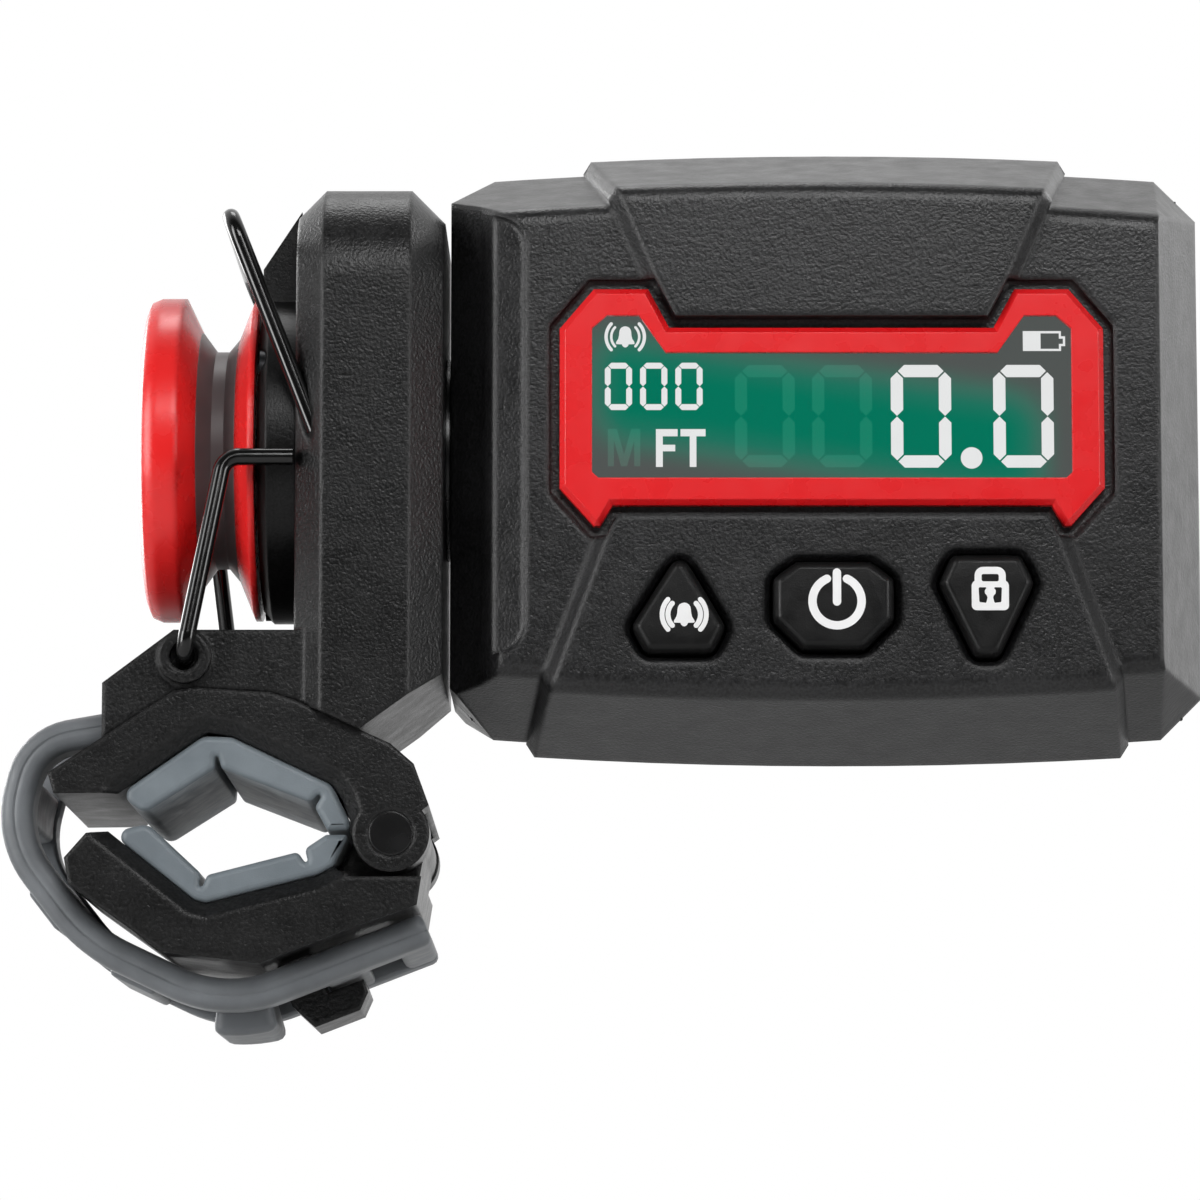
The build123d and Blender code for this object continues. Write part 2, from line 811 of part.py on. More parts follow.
def make_line_gate():
    """Wire gate that turns in the eyelet: front leg, bar through the shelf and rear leg."""
    end_x = neck_left + wire_reach - (neck_depth / 2 - neck_left_bevel) - slip_gap - wire_radius
    top_z = axis_rise + gate_top
    points = [
        (end_x, -wire_reach, top_z), (gate_elbow_x, -wire_reach, top_z),
        (eyelet_x, -wire_low_reach, eyelet_rise), (eyelet_x, wire_low_reach, eyelet_rise),
        (gate_rear_x, wire_low_reach, gate_rear_rise), (eyelet_x, wire_reach, top_z),
        (end_x, wire_reach, top_z),
    ]
    return wire(points, [gate_bend] * (len(points) - 2), wire_radius)


# Swivel pieces
def make_swivel_hub():
    """Hollow hub that fixes the head to the neck and lets the cable through."""
    left = neck_right - neck_wall - ring_thickness - slip_gap - hub_tail
    right = bay_left + hub_flange
    body = disc(left, right, hub_radius, hub_bore_radius)
    body += disc(bay_left, right, hub_flange_radius, hub_bore_radius)
    groove_left = neck_right - neck_wall - ring_thickness - slip_gap
    groove_right = groove_left + ring_thickness + slip_gap / 2
    return body - disc(groove_left, groove_right, hub_radius + cut_over, hub_radius - ring_groove_depth)


def make_retaining_ring():
    """Ring that keeps the hub in the neck."""
    right = neck_right - neck_wall - slip_gap + slip_gap / 4
    ring = disc(right - ring_thickness, right, ring_radius, hub_radius - ring_groove_depth + running_gap)
    half = ring_groove_depth
    top = axis_rise + ring_radius
    return ring - block((right - ring_thickness * 2, right + cut_over), (-half, half), (axis_rise, top))


def make_swivel_washer():
    """Friction washer between the neck and the head."""
    return disc(neck_right, neck_right + washer_thickness, washer_radius, washer_bore_radius)


def make_swivel_seal():
    """Rubber ring round the hub in the neck's wall."""
    middle = neck_right - neck_wall / 2
    ring = Torus(hub_radius + running_gap + seal_cord_radius, seal_cord_radius)
    return Pos(middle, 0, axis_rise) * Rot(0, 90, 0) * ring


# Head pieces
def head_outline(right=0, top=0, bottom=0):
    """Front-view outline of the head, drawn in from its right side, top and bottom."""
    left = -head_width / 2
    right = head_width / 2 - right
    high = head_shoulder - top
    low = bottom - head_shoulder
    middle = (left + right) / 2
    p = head_points([
        (right, low), (right, high), (middle, high + head_arch),
        (left, high), (left, low), (middle, low - head_arch),
    ])
    return make_face([
        Line(p[0], p[1]), ThreePointArc(p[1], p[2], p[3]), Line(p[3], p[4]), ThreePointArc(p[4], p[5], p[0]),
    ])


def head_half(near, insets, rise=0):
    """Half of the head from the parting plane to a depth, raised all round by a rise."""
    end = Plane.XZ.offset(-near) * head_outline(*[inset - rise for inset in insets])
    wide = Plane.XZ.offset(-parting_y) * head_outline(-rise, -rise, -rise)
    body = loft([end, wide], ruled=True)
    if near < parting_y:
        around = body.faces().sort_by(Axis.Y)[0].edges().sort_by(Axis.Z)
        body = fillet([around[0], around[-1]], face_round)
    right, top, bottom = insets
    for side, inset in ((1, top), (-1, bottom)):
        body = split(body, bisect_by=corner_plane(near, right, inset, side, rise), keep=Keep.BOTTOM)
    return body


def corner_plane(near, right, inset, side, rise):
    """Plane of a right-hand corner facet, from the face's corner to the outline."""
    edge_x = head_left + head_width + rise
    edge_z = head_shoulder + rise
    tip = Vector(edge_x - right, near, axis_rise + side * (edge_z - inset))
    first = Vector(edge_x - head_corner, parting_y, axis_rise + side * edge_z)
    second = Vector(edge_x, parting_y, axis_rise + side * (edge_z - head_corner))
    normal = (first - tip).cross(second - tip)
    return Plane(origin=tip, z_dir=normal if normal.X > 0 else -normal)


def front_half(near, rise=0):
    """Front half of the head as one solid."""
    return head_half(near, (face_right_inset, face_top_inset, face_bottom_inset), rise)


def rear_half(rise=0):
    """Rear half of the head as one solid."""
    return head_half(back_y, (back_bevel, back_bevel, back_bevel), rise)


def side_cut():
    """Cutters that give the head's left side its flat middle, slopes, ledge and cut corners."""
    left = head_left - cut_over
    face_x = head_left + side_face_inset
    front = face_y - panel_rise - cut_over
    back = back_y + cut_over
    front_slope = [
        (left, front), (face_x, front), (face_x, face_y), (head_left + side_ledge_inset, side_ledge_y),
        (head_left, -side_half_depth), (left, -side_half_depth),
    ]
    back_slope = [
        (left, side_half_depth), (head_left, side_half_depth), (head_left + back_bevel, back_y),
        (head_left + back_bevel, back), (left, back),
    ]
    cutters = [upright(front_slope), upright(back_slope)]
    over = cut_over + panel_rise
    for side in (-1, 1):
        foot = axis_rise + side * (head_shoulder - head_corner - over)
        top = axis_rise + side * (head_shoulder + over)
        corner = [(head_left - over, foot), (head_left + head_corner + over, top), (head_left - over, top)]
        cutters.append(plate(corner, front, back))
    return cutters


def upright(points):
    """Top-view outline made into a block as tall as the head."""
    half = head_shoulder + head_arch + panel_rise + cut_over
    start = Plane.XY.offset(axis_rise - half)
    return extrude(start * Polygon(*points, align=None), amount=2 * half, dir=(0, 0, 1))


def strip_cut():
    """Long shallow recess down the left edge of the front face."""
    deep_x, edge_x = head_left + strip_inset, head_left + strip_face_inset
    left = head_left - cut_over
    front = face_y - cut_over
    floor = face_y + strip_depth
    step = face_y + strip_step
    slope = upright([(left, front), (edge_x, front), (edge_x, step), (deep_x, floor), (left, floor)])
    high, low = axis_rise + strip_high, axis_rise + strip_low
    bounds = Polygon((left, low), (edge_x, low), (edge_x, high), (left, high), align=None)
    bounds = fillet(bounds.vertices().sort_by(Axis.X)[2:], strip_end)
    return slope & sketch_plate(bounds, front, parting_y)


def panel_wedge(low, low_half, high, high_half, near, far):
    """Front-view trapezoid that bounds a raised panel."""
    points = head_points([(-low_half, low), (low_half, low), (high_half, high), (-high_half, high)])
    return plate(points, near, far)


def upper_wedge(near, far, extra=0):
    """Bounds of the upper raised panel."""
    return panel_wedge(upper_panel_low - extra, upper_panel_low_half + extra,
                       upper_panel_high, upper_panel_high_half + extra, near, far)


def lower_wedge(near, far, extra=0):
    """Bounds of the lower raised panel."""
    return panel_wedge(lower_panel_high + extra, lower_panel_high_half + extra,
                       lower_panel_low, lower_panel_low_half + extra, near, far)


def head_bay(near, far):
    """Room inside the head, an eight-sided well that leaves the corners for screws."""
    return plate(head_points(eight_sides(bay_half_width, bay_half_height, bay_corner)), near, far)


def eight_sides(w, h, c):
    """Rectangle with cut corners."""
    right_side = [(w - c, -h), (w, -h + c), (w, h - c), (w - c, h)]
    return right_side + [(-x, z) for x, z in reversed(right_side)]


def button_outline(shares, index, grow):
    """Front-view outline of a button with rounded corners, grown evenly."""
    sketch = Polygon(*[(x * button_size, z * button_size) for x, z in shares], align=None)
    sketch = offset(sketch, amount=-button_corner, kind=Kind.INTERSECTION)
    sketch = offset(sketch, amount=grow + button_corner, kind=Kind.ARC)
    return Pos(head_x + (index - 1) * button_pitch, axis_rise + button_drop) * sketch


button_table = (("alarm_button", alarm_shares), ("power_button", power_shares), ("lock_button", lock_shares))


def make_front_shell():
    """Front half of the head with the raised panels, the bezel seat and the button wells."""
    body = front_half(face_y) - side_cut() - strip_cut()
    body += raised_panels(front_half(panel_y, panel_rise), panel_y - cut_over, parting_y)
    body -= head_bay(bay_front_y, parting_y + cut_over)
    bezel = Polygon(*head_points(bezel_outer_shares, bezel_half_width), align=None)
    seat = offset(bezel, amount=bezel_gap, kind=Kind.INTERSECTION)
    body -= sketch_plate(seat, panel_y - cut_over, bezel_front + bezel_thickness)
    body -= window_shape(lcd_lip + slip_gap, panel_y - cut_over, bay_front_y + cut_over)
    body -= window_seat()
    for index, (_, shares) in enumerate(button_table):
        well = button_outline(shares, index, button_skirt + button_gap)
        body -= sketch_plate(well, panel_y - cut_over, bay_front_y + cut_over)
        mouth = button_outline(shares, index, button_skirt + button_gap + well_mouth)
        throat_y = panel_y + well_mouth_depth
        body -= loft([Plane.XZ.offset(-panel_y) * mouth, Plane.XZ.offset(-throat_y) * well])
        pocket = button_outline(shares, index, button_skirt + button_gap + button_flange_lip + slip_gap)
        body -= sketch_plate(pocket, bay_front_y, bay_front_y + button_flange + button_travel + 2 * slip_gap)
    body -= disc(head_left - cut_over, bay_left + cut_over, hub_radius + running_gap)
    return body - case_screws(running_gap)


def raised_panels(proud, near, far):
    """Upper and lower raised panels with sloping sides."""
    panels = []
    for wedge in (upper_wedge, lower_wedge):
        panel = proud & wedge(near, far, panel_slope)
        flat = panel.faces().filter_by(GeomType.PLANE)
        sides = [f for f in flat if abs(f.normal_at().Y) < 0.01 < abs(f.normal_at().X)]
        outer = [e for f in sides for e in f.edges() if abs(e.center().Y - parting_y) > panel_slope]
        panels.append(chamfer([e for e in outer if abs(e.tangent_at(0.5).Y) < 0.99], panel_slope))
    return panels


def window_shape(grow, near, far):
    """Plate with the window's outline, grown evenly."""
    window = Polygon(*head_points(window_shares, bezel_half_width), align=None)
    return sketch_plate(offset(window, amount=grow, kind=Kind.INTERSECTION), near, far)


def window_seat():
    """Ledge behind the bezel that the window lies on."""
    return window_shape(bezel_gap + slip_gap, window_front_y - slip_gap, window_back_y)


def make_bezel():
    """Red frame round the window."""
    outer = Polygon(*head_points(bezel_outer_shares, bezel_half_width), align=None)
    window = Polygon(*head_points(window_shares, bezel_half_width), align=None)
    ring = sketch_plate(outer, bezel_front, bezel_front + bezel_thickness)
    ring = chamfer(ring.faces().sort_by(Axis.Y)[0].edges(), bezel_edge)
    ring -= sketch_plate(window, bezel_front - cut_over, bezel_front + bezel_thickness + cut_over)
    return ring - window_seat()


def make_window():
    """Clear window behind the bezel."""
    return window_shape(bezel_gap, window_front_y, window_back_y)


def display_block(front, back, extra=0):
    """Rectangle of the backlight between two depths."""
    half = bezel_half_width * backlight_side_share + extra
    low = axis_rise + bezel_half_width * backlight_low_share - extra
    high = axis_rise + bezel_half_width * backlight_high_share + extra
    return block((head_x - half, head_x + half), (front, back), (low, high))


def make_lcd_frame():
    """Frame that stands on the board and holds the backlight."""
    front = bay_front_y + stack_gap
    ring = display_block(front, board_front_y, lcd_frame_wall)
    return ring - display_block(front - cut_over, board_front_y + cut_over, stack_gap / 2)


def make_main_board():
    """Main board with its chips and its cable socket."""
    half_width = bay_half_width - board_side_gap
    half_height = bay_half_height - board_end_gap
    outline = eight_sides(half_width, half_height, bay_corner + board_corner_margin)
    body = plate(head_points(outline), board_front_y, board_back_y)
    half = board_chip / 2
    depth = (board_back_y, board_back_y + board_chip_height)
    for x in (head_x - board_chip * 2, head_x + board_chip):
        body += block((x - half, x + half), depth, (axis_rise - half, axis_rise + half))
    socket = cable_socket / 2
    socket_x = bay_left + hub_flange + cable_drop
    depth = (board_back_y, board_back_y + cable_socket_height)
    height = (axis_rise - socket, axis_rise + socket)
    return body + block((socket_x - socket, socket_x + socket), depth, height)


def make_button(shares, index):
    """Rubber key: bevelled cap, skirt, flange behind the shell and stem to its switch."""
    skirt = button_outline(shares, index, button_skirt)
    cap_face = button_outline(shares, index, 0)
    shoulder_y = panel_y - button_proud * 0.2
    cap = loft([Plane.XZ.offset(-shoulder_y) * skirt, Plane.XZ.offset(-button_front_y) * cap_face])
    body = cap + sketch_plate(skirt, shoulder_y, bay_front_y + slip_gap)
    flange = button_outline(shares, index, button_skirt + button_gap + button_flange_lip)
    near = bay_front_y + slip_gap
    body += sketch_plate(flange, near, near + button_flange)
    x = head_x + (index - 1) * button_pitch
    return body + rod_y(x, axis_rise + button_drop, button_stem_radius, near, button_back_y)


def make_dome_switches():
    """One switch behind each key."""
    half = switch_size / 2
    depth = (board_front_y - switch_height, board_front_y)
    z = axis_rise + button_drop
    group = []
    for index in range(len(button_table)):
        x = head_x + (index - 1) * button_pitch
        group.append(block((x - half, x + half), depth, (z - half, z + half)))
    return group


def make_buzzer():
    """Sounder on the back of the board."""
    z = axis_rise - bay_half_height + buzzer_radius + soft_gap
    return rod_y(head_x + buzzer_x, z, buzzer_radius, board_back_y, board_back_y + buzzer_height)


def case_screws(extra=0):
    """Screws through the rear shell into the front shell's corners."""
    group = []
    head_y = back_y - case_screw_seat
    near = head_y - case_screw_head - extra
    mouth = case_screw_seat + cut_over if extra else 0
    tip = head_y - case_screw_length - extra
    for x, z in ((-1, -1), (1, -1), (-1, 1), (1, 1)):
        place = (head_x + x * case_screw_x, axis_rise + z * case_screw_z)
        head = rod_y(*place, case_screw_head_radius + extra, near, head_y + mouth)
        group.append(head + rod_y(*place, case_screw_radius + extra, tip, head_y))
    return group


def make_rear_shell():
    """Rear half of the head with the battery bay."""
    body = rear_half() - side_cut()
    body += raised_panels(rear_half(panel_rise), parting_y, back_y)
    body -= head_bay(parting_y - cut_over, bay_back_y)
    body -= gasket(running_gap)
    body -= disc(head_left - cut_over, bay_left + cut_over, hub_radius + running_gap)
    body -= case_screws(running_gap)
    door = door_sketch(slip_gap)
    body -= sketch_plate(door, back_y - bay_door_thickness - bay_seal_thickness, back_y + cut_over)
    mouth = door_sketch(-bay_mouth_margin)
    body -= sketch_plate(mouth, bay_back_y - cut_over, back_y)
    return body - door_screws(running_gap)


def door_sketch(grow):
    """Front-view outline of the battery door."""
    width = bay_door_width + 2 * grow
    height = bay_door_height + 2 * grow
    return Pos(power_x, axis_rise) * RectangleRounded(width, height, bay_door_corner + grow / 2)


def make_battery_door():
    """Door over the cells, held by two screws."""
    door = sketch_plate(door_sketch(0), back_y - bay_door_thickness, back_y)
    door = chamfer(door.faces().sort_by(Axis.Y)[-1].edges(), bezel_edge)
    return door - door_screws(running_gap)


def make_door_seal():
    """Seal under the rim of the door."""
    back = back_y - bay_door_thickness
    ring = sketch_plate(door_sketch(0), back - bay_seal_thickness, back)
    ring -= sketch_plate(door_sketch(-bay_seal_width), back - bay_seal_thickness - cut_over, back + cut_over)
    return ring


def door_screws(extra=0):
    """Screws at the ends of the battery door."""
    group = []
    reach = bay_door_width / 2 - door_screw_inset
    near = back_y - door_screw_head - extra
    mouth = cut_over if extra else 0
    tip = back_y - door_screw_length - extra
    for side in (-1, 1):
        place = (power_x + side * reach, axis_rise)
        head = rod_y(*place, door_screw_head_radius + extra, near, back_y + mouth)
        group.append(head + rod_y(*place, door_screw_radius + extra, tip, back_y))
    return group


def gasket(extra=0):
    """Seal between the two shells."""
    outer = offset(head_outline(), amount=-gasket_inset + extra, kind=Kind.INTERSECTION)
    inner = offset(head_outline(), amount=-gasket_inset - gasket_width - extra, kind=Kind.INTERSECTION)
    ring = sketch_plate(outer - inner, parting_y, parting_y + gasket_thickness + extra)
    return ring - disc(head_left, bay_left, hub_radius + soft_gap)


def make_cells():
    """Two cells, one above the other."""
    half = cell_length / 2
    group = []
    for side in (-1, 1):
        body = cell_bar(side, -half, half - cell_nub, cell_radius)
        group.append(body + cell_bar(side, half - cell_nub, half, cell_nub_radius))
    return group


def cell_bar(side, foot, tip, radius):
    """Round bar along X at one cell's place, its tip to the right above and to the left below."""
    left, right = sorted((power_x + side * foot, power_x + side * tip))
    return disc(left, right, radius, y=cell_y, z=side * cell_spread / 2)


def make_contacts():
    """Sprung contact plates at both ends of each cell."""
    group = []
    half = contact_size / 2
    reach = cell_length / 2 + slip_gap
    for end in (-1, 1):
        x = sorted((power_x + end * reach, power_x + end * (reach + contact_thickness)))
        for side in (-1, 1):
            z = axis_rise + side * cell_spread / 2
            group.append(block(x, (cell_y - half, cell_y + half), (z - half, z + half)))
    return group


def make_cell_tray():
    """Tray on the board's back that holds the cells and their contacts."""
    front = board_back_y + board_thickness + slip_gap
    back = cell_y + cell_radius / 2
    inside = tray_block(tray_wall, cell_y - cell_radius - slip_gap, back + cut_over)
    return tray_block(0, front, back) - inside


def tray_block(inset, near, far):
    """Box about the middle of the cells, drawn in from the tray's outside."""
    half_width, half_height = tray_half_width - inset, tray_half_height - inset
    x = (power_x - half_width, power_x + half_width)
    return block(x, (near, far), (axis_rise - half_height, axis_rise + half_height))


def make_cable():
    """Cable from the sensor board through the hub to the main board."""
    start = neck_left + cap_spigot + sensor_board_thickness + cable_socket_height + slip_gap
    end_x = bay_left + hub_flange + cable_drop
    end_y = board_back_y + cable_socket_height + slip_gap / 2
    points = [(start, 0, axis_rise), (end_x, 0, axis_rise), (end_x, end_y, axis_rise)]
    return wire(points, [cable_bend], cable_radius)


def save(name, shape):
    """Write one piece, or one group of separate solids."""
    shape = Compound(children=[Compound(s.solids()) for s in shape]) if isinstance(shape, list) else shape
    export_step(Compound(shape.solids()), os.path.join("parts", name + ".step"))


def main():
    """Write every piece."""
    os.makedirs("parts", exist_ok=True)
    save("upper_jaw", make_upper_jaw())
    save("lower_jaw", make_lower_jaw())
    save("jaw_hinge_pin", make_jaw_pin())
    save("jaw_screws", jaw_screws())
    save("upper_liner", make_liner(upper_liner_outer_shares, upper_liner_inner_shares))
    save("lower_liner", make_liner(lower_liner_outer_shares, lower_liner_inner_shares))
    save("ladder_strap", make_strap())
    save("strap_pin", make_strap_pin())
    save("neck_body", make_neck_body())
    save("neck_cap", make_neck_cap())
    save("cap_screws", cap_screws())
    save("sensor_board", make_sensor_board())
    save("wheel_outer_flange", make_outer_flange())
    save("wheel_inner_flange", make_inner_flange())
    save("groove_ring", make_groove_ring())
    save("wheel_magnets", wheel_magnets())
    save("wheel_bearings", [make_bearing(left_bearing()), make_bearing(right_bearing())])
    save("wheel_axle", make_axle())
    save("wheel_screw", make_wheel_screw())
    save("line_guard", line_guard())
    save("line_gate", make_line_gate())
    save("swivel_hub", make_swivel_hub())
    save("swivel_ring", make_retaining_ring())
    save("swivel_washer", make_swivel_washer())
    save("swivel_seal", make_swivel_seal())
    save("front_shell", make_front_shell())
    save("rear_shell", make_rear_shell())
    save("case_gasket", gasket())
    save("case_screws", case_screws())
    save("display_bezel", make_bezel())
    save("display_window", make_window())
    save("lcd_panel", window_shape(lcd_lip, lcd_front_y, lcd_back_y))
    save("backlight", display_block(backlight_front_y, backlight_back_y))
    save("lcd_frame", make_lcd_frame())
    save("main_board", make_main_board())
    for index, (name, shares) in enumerate(button_table):
        save(name, make_button(shares, index))
    save("dome_switches", make_dome_switches())
    save("buzzer", make_buzzer())
    save("battery_cells", make_cells())
    save("battery_contacts", make_contacts())
    save("cell_tray", make_cell_tray())
    save("battery_door", make_battery_door())
    save("door_seal", make_door_seal())
    save("door_screws", door_screws())
    save("sensor_cable", make_cable())


main()
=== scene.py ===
import json
import math

import bmesh
import bpy
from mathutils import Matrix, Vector


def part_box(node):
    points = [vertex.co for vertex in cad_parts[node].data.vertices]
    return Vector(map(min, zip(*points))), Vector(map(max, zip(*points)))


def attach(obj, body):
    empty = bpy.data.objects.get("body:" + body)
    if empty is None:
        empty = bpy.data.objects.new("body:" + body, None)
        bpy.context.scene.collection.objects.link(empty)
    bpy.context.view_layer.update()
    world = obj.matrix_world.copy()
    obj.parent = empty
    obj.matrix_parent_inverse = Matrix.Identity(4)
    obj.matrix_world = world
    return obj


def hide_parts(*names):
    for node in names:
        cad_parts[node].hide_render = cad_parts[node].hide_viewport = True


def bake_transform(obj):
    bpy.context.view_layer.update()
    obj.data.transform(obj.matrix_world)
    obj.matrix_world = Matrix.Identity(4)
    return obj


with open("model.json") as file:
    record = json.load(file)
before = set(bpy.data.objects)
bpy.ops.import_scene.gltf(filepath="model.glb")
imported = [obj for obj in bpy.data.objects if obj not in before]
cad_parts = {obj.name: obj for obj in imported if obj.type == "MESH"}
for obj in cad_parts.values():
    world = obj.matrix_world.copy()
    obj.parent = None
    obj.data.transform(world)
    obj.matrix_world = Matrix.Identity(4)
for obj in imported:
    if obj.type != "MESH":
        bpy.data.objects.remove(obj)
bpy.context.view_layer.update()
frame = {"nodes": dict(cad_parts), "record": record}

MM = 0.001

# Camera and framing, in millimetres
TILT = math.radians(7.5)
DISTANCE = 500
AIM = Vector((31.5, 0, 33.7))
RISE = 12.41
LENS = 168

# Depths of flat marks
LCD_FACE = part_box("lcd_panel")[0].y / MM
KEY_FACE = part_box("power_button")[0].y / MM


# Node materials
class Nodes:
    """Helpers for building a node tree."""

    def __init__(self, tree, coordinates):
        self.tree = tree
        self.place = self.add("ShaderNodeTexCoord").outputs[coordinates]

    def add(self, kind, **values):
        node = self.tree.nodes.new(kind)
        for key, value in values.items():
            setattr(node, key, value)
        return node

    def link(self, source, target):
        self.tree.links.new(source, target)

    def math(self, operation, a, b):
        node = self.add("ShaderNodeMath", operation=operation)
        for socket, value in zip(node.inputs, (a, b)):
            if isinstance(value, (int, float)):
                socket.default_value = value
            else:
                self.link(value, socket)
        return node.outputs["Value"]

    def axes(self):
        """X, Y and Z of the place that is shaded."""
        node = self.add("ShaderNodeSeparateXYZ")
        self.link(self.place, node.inputs["Vector"])
        return node.outputs

    def fade(self, value, start, end):
        """Soft step from 0 at the start to 1 at the end."""
        node = self.add("ShaderNodeMapRange", interpolation_type="SMOOTHSTEP")
        node.inputs["From Min"].default_value = start
        node.inputs["From Max"].default_value = end
        self.link(value, node.inputs["Value"])
        return node.outputs["Result"]

    def mix(self, factor, first, second):
        """Mix of two shaders."""
        node = self.add("ShaderNodeMixShader")
        for socket, source in zip(node.inputs, (factor, first, second)):
            self.link(source, socket)
        return node.outputs[0]


class Shader(Nodes):
    """A Principled material."""

    def __init__(self, name, color, roughness, **sockets):
        self.material = bpy.data.materials.new(name)
        self.material.use_nodes = True
        super().__init__(self.material.node_tree, "Object")
        self.main = self.tree.nodes["Principled BSDF"]
        self.main.inputs["Base Color"].default_value = (*color, 1)
        self.main.inputs["Roughness"].default_value = roughness
        for socket, value in sockets.items():
            self.main.inputs[socket.replace("_", " ")].default_value = value

    def noise(self, size_mm, detail=2, roughness=0.5, stretch=(1, 1, 1)):
        """Noise with grains of a size in millimetres."""
        mapping = self.add("ShaderNodeMapping")
        mapping.inputs["Scale"].default_value = stretch
        self.link(self.place, mapping.inputs["Vector"])
        node = self.add("ShaderNodeTexNoise")
        node.inputs["Scale"].default_value = 1 / (size_mm * MM)
        node.inputs["Detail"].default_value = detail
        node.inputs["Roughness"].default_value = roughness
        self.link(mapping.outputs["Vector"], node.inputs["Vector"])
        return node.outputs["Fac"]

    def ramp(self, value, stops):
        """Colour or grey ramp with (position, colour) stops."""
        node = self.add("ShaderNodeValToRGB")
        ramp = node.color_ramp
        while len(ramp.elements) < len(stops):
            ramp.elements.new(0.5)
        for element, (position, color) in zip(ramp.elements, stops):
            element.position = position
            element.color = (*color, 1)
        self.link(value, node.inputs["Fac"])
        return node.outputs["Color"]

    def shades(self, value, low, high, start=0.35, end=0.65):
        """Base colour that drifts between two colours."""
        self.link(self.ramp(value, [(start, low), (end, high)]), self.main.inputs["Base Color"])

    def sheen_range(self, value, low, high):
        """Roughness that drifts between two values."""
        node = self.add("ShaderNodeMapRange")
        node.inputs["From Min"].default_value = 0.3
        node.inputs["From Max"].default_value = 0.7
        node.inputs["To Min"].default_value = low
        node.inputs["To Max"].default_value = high
        self.link(value, node.inputs["Value"])
        self.link(node.outputs["Result"], self.main.inputs["Roughness"])

    def bump(self, height, depth_mm, edge_mm=0):
        """Relief from a height, on edges rounded by a radius."""
        node = self.add("ShaderNodeBump")
        node.inputs["Distance"].default_value = depth_mm * MM
        self.link(height, node.inputs["Height"])
        if edge_mm:
            edge = self.add("ShaderNodeBevel", samples=6)
            edge.inputs["Radius"].default_value = edge_mm * MM
            self.link(edge.outputs["Normal"], node.inputs["Normal"])
        self.link(node.outputs["Normal"], self.main.inputs["Normal"])


def textured_plastic(name, dark, light, grain_mm, depth_mm, roughness, edge_mm, gloss):
    """Spark-eroded plastic: fine pebbles whose crests carry a painted glint, as lighter base colour, over a
    broader drift of tone.
    """
    made = Shader(name, dark, roughness, Specular_IOR_Level=gloss)
    fine = made.noise(grain_mm, 2, 0.55)
    broad = made.math("MULTIPLY", made.noise(grain_mm * 3.1, 2), 0.5)
    made.bump(made.math("ADD", fine, broad), depth_mm, edge_mm)
    drift = made.math("MULTIPLY", made.noise(grain_mm * 40, 3), 0.35)
    # Base colour is lighter where the fine grain is high: a painted glint on the crests, plus a random drift
    # of tone
    made.shades(made.math("ADD", fine, drift), dark, light, 0.50, 0.86)
    made.sheen_range(made.noise(grain_mm * 9, 3), roughness - 0.04, roughness + 0.05)
    return made.material


def smooth_plastic(name, dark, light, roughness, edge_mm=0, peel=0.008, **sockets):
    """Polished moulding with a faint flow of tone and a trace of orange peel."""
    made = Shader(name, dark, roughness, **sockets)
    made.shades(made.noise(7, 3), dark, light)
    made.sheen_range(made.noise(3, 3), roughness - 0.04, roughness + 0.05)
    made.bump(made.noise(1.4, 2), peel, edge_mm)
    return made.material


def metal(name, color, roughness):
    """Machined metal with fine lines."""
    made = Shader(name, color, roughness, Metallic=1.0)
    lines = made.noise(0.5, 3, 0.6, (1, 1, 12))
    made.sheen_range(lines, roughness - 0.06, roughness + 0.1)
    made.bump(lines, 0.004)
    return made.material


def rubber(name, dark, light, grain_mm, depth_mm, roughness, **sockets):
    """Moulded rubber with a dry bloom and faint flow marks."""
    made = Shader(name, dark, roughness, **sockets)
    flow = made.noise(4.5, 4, 0.55, (1, 0.35, 1))
    made.shades(flow, dark, light)
    made.sheen_range(made.noise(1.6, 3), roughness - 0.07, roughness + 0.08)
    waves = made.math("MULTIPLY", made.noise(1.1, 2), 1.5)
    made.bump(made.math("ADD", made.noise(grain_mm, 3), waves), depth_mm)
    return made.material


def display_green(name, lift=(0, 0, 0)):
    """Backlit panel: a green glow along a line that sinks to the right, with grey edges."""
    made = Shader(name, (0, 0, 0), 0.4, Specular_IOR_Level=0)
    axes = made.axes()
    across, up = axes["X"], axes["Z"]
    slope = made.math("MULTIPLY", across, -0.146)
    offset = made.math("SUBTRACT", made.math("SUBTRACT", up, 42.8 * MM), slope)
    level = made.fade(made.math("ABSOLUTE", offset, 0), 6.8 * MM, 1.2 * MM)
    left, right = made.fade(across, 29.0 * MM, 34.2 * MM), made.fade(across, 72.2 * MM, 66.5 * MM)
    glow = made.math("MULTIPLY", level, made.math("MULTIPLY", left, right))
    stops = [
        (0, (0.091, 0.100, 0.096)), (0.35, (0.050, 0.160, 0.120)),
        (0.7, (0.014, 0.182, 0.120)), (1, (0.0, 0.188, 0.112)),
    ]
    stops = [(place, tuple(c + a for c, a in zip(color, lift))) for place, color in stops]
    made.link(made.ramp(glow, stops), made.main.inputs["Emission Color"])
    made.main.inputs["Emission Strength"].default_value = 1.0
    return made.material


def lit(name, color):
    """Evenly lit mark."""
    made = Shader(name, (0, 0, 0), 0.5, Specular_IOR_Level=0)
    tone = made.ramp(made.noise(3, 2), [(0.3, tuple(c * 0.97 for c in color)), (0.7, color)])
    made.link(tone, made.main.inputs["Emission Color"])
    made.main.inputs["Emission Strength"].default_value = 1.0
    return made.material
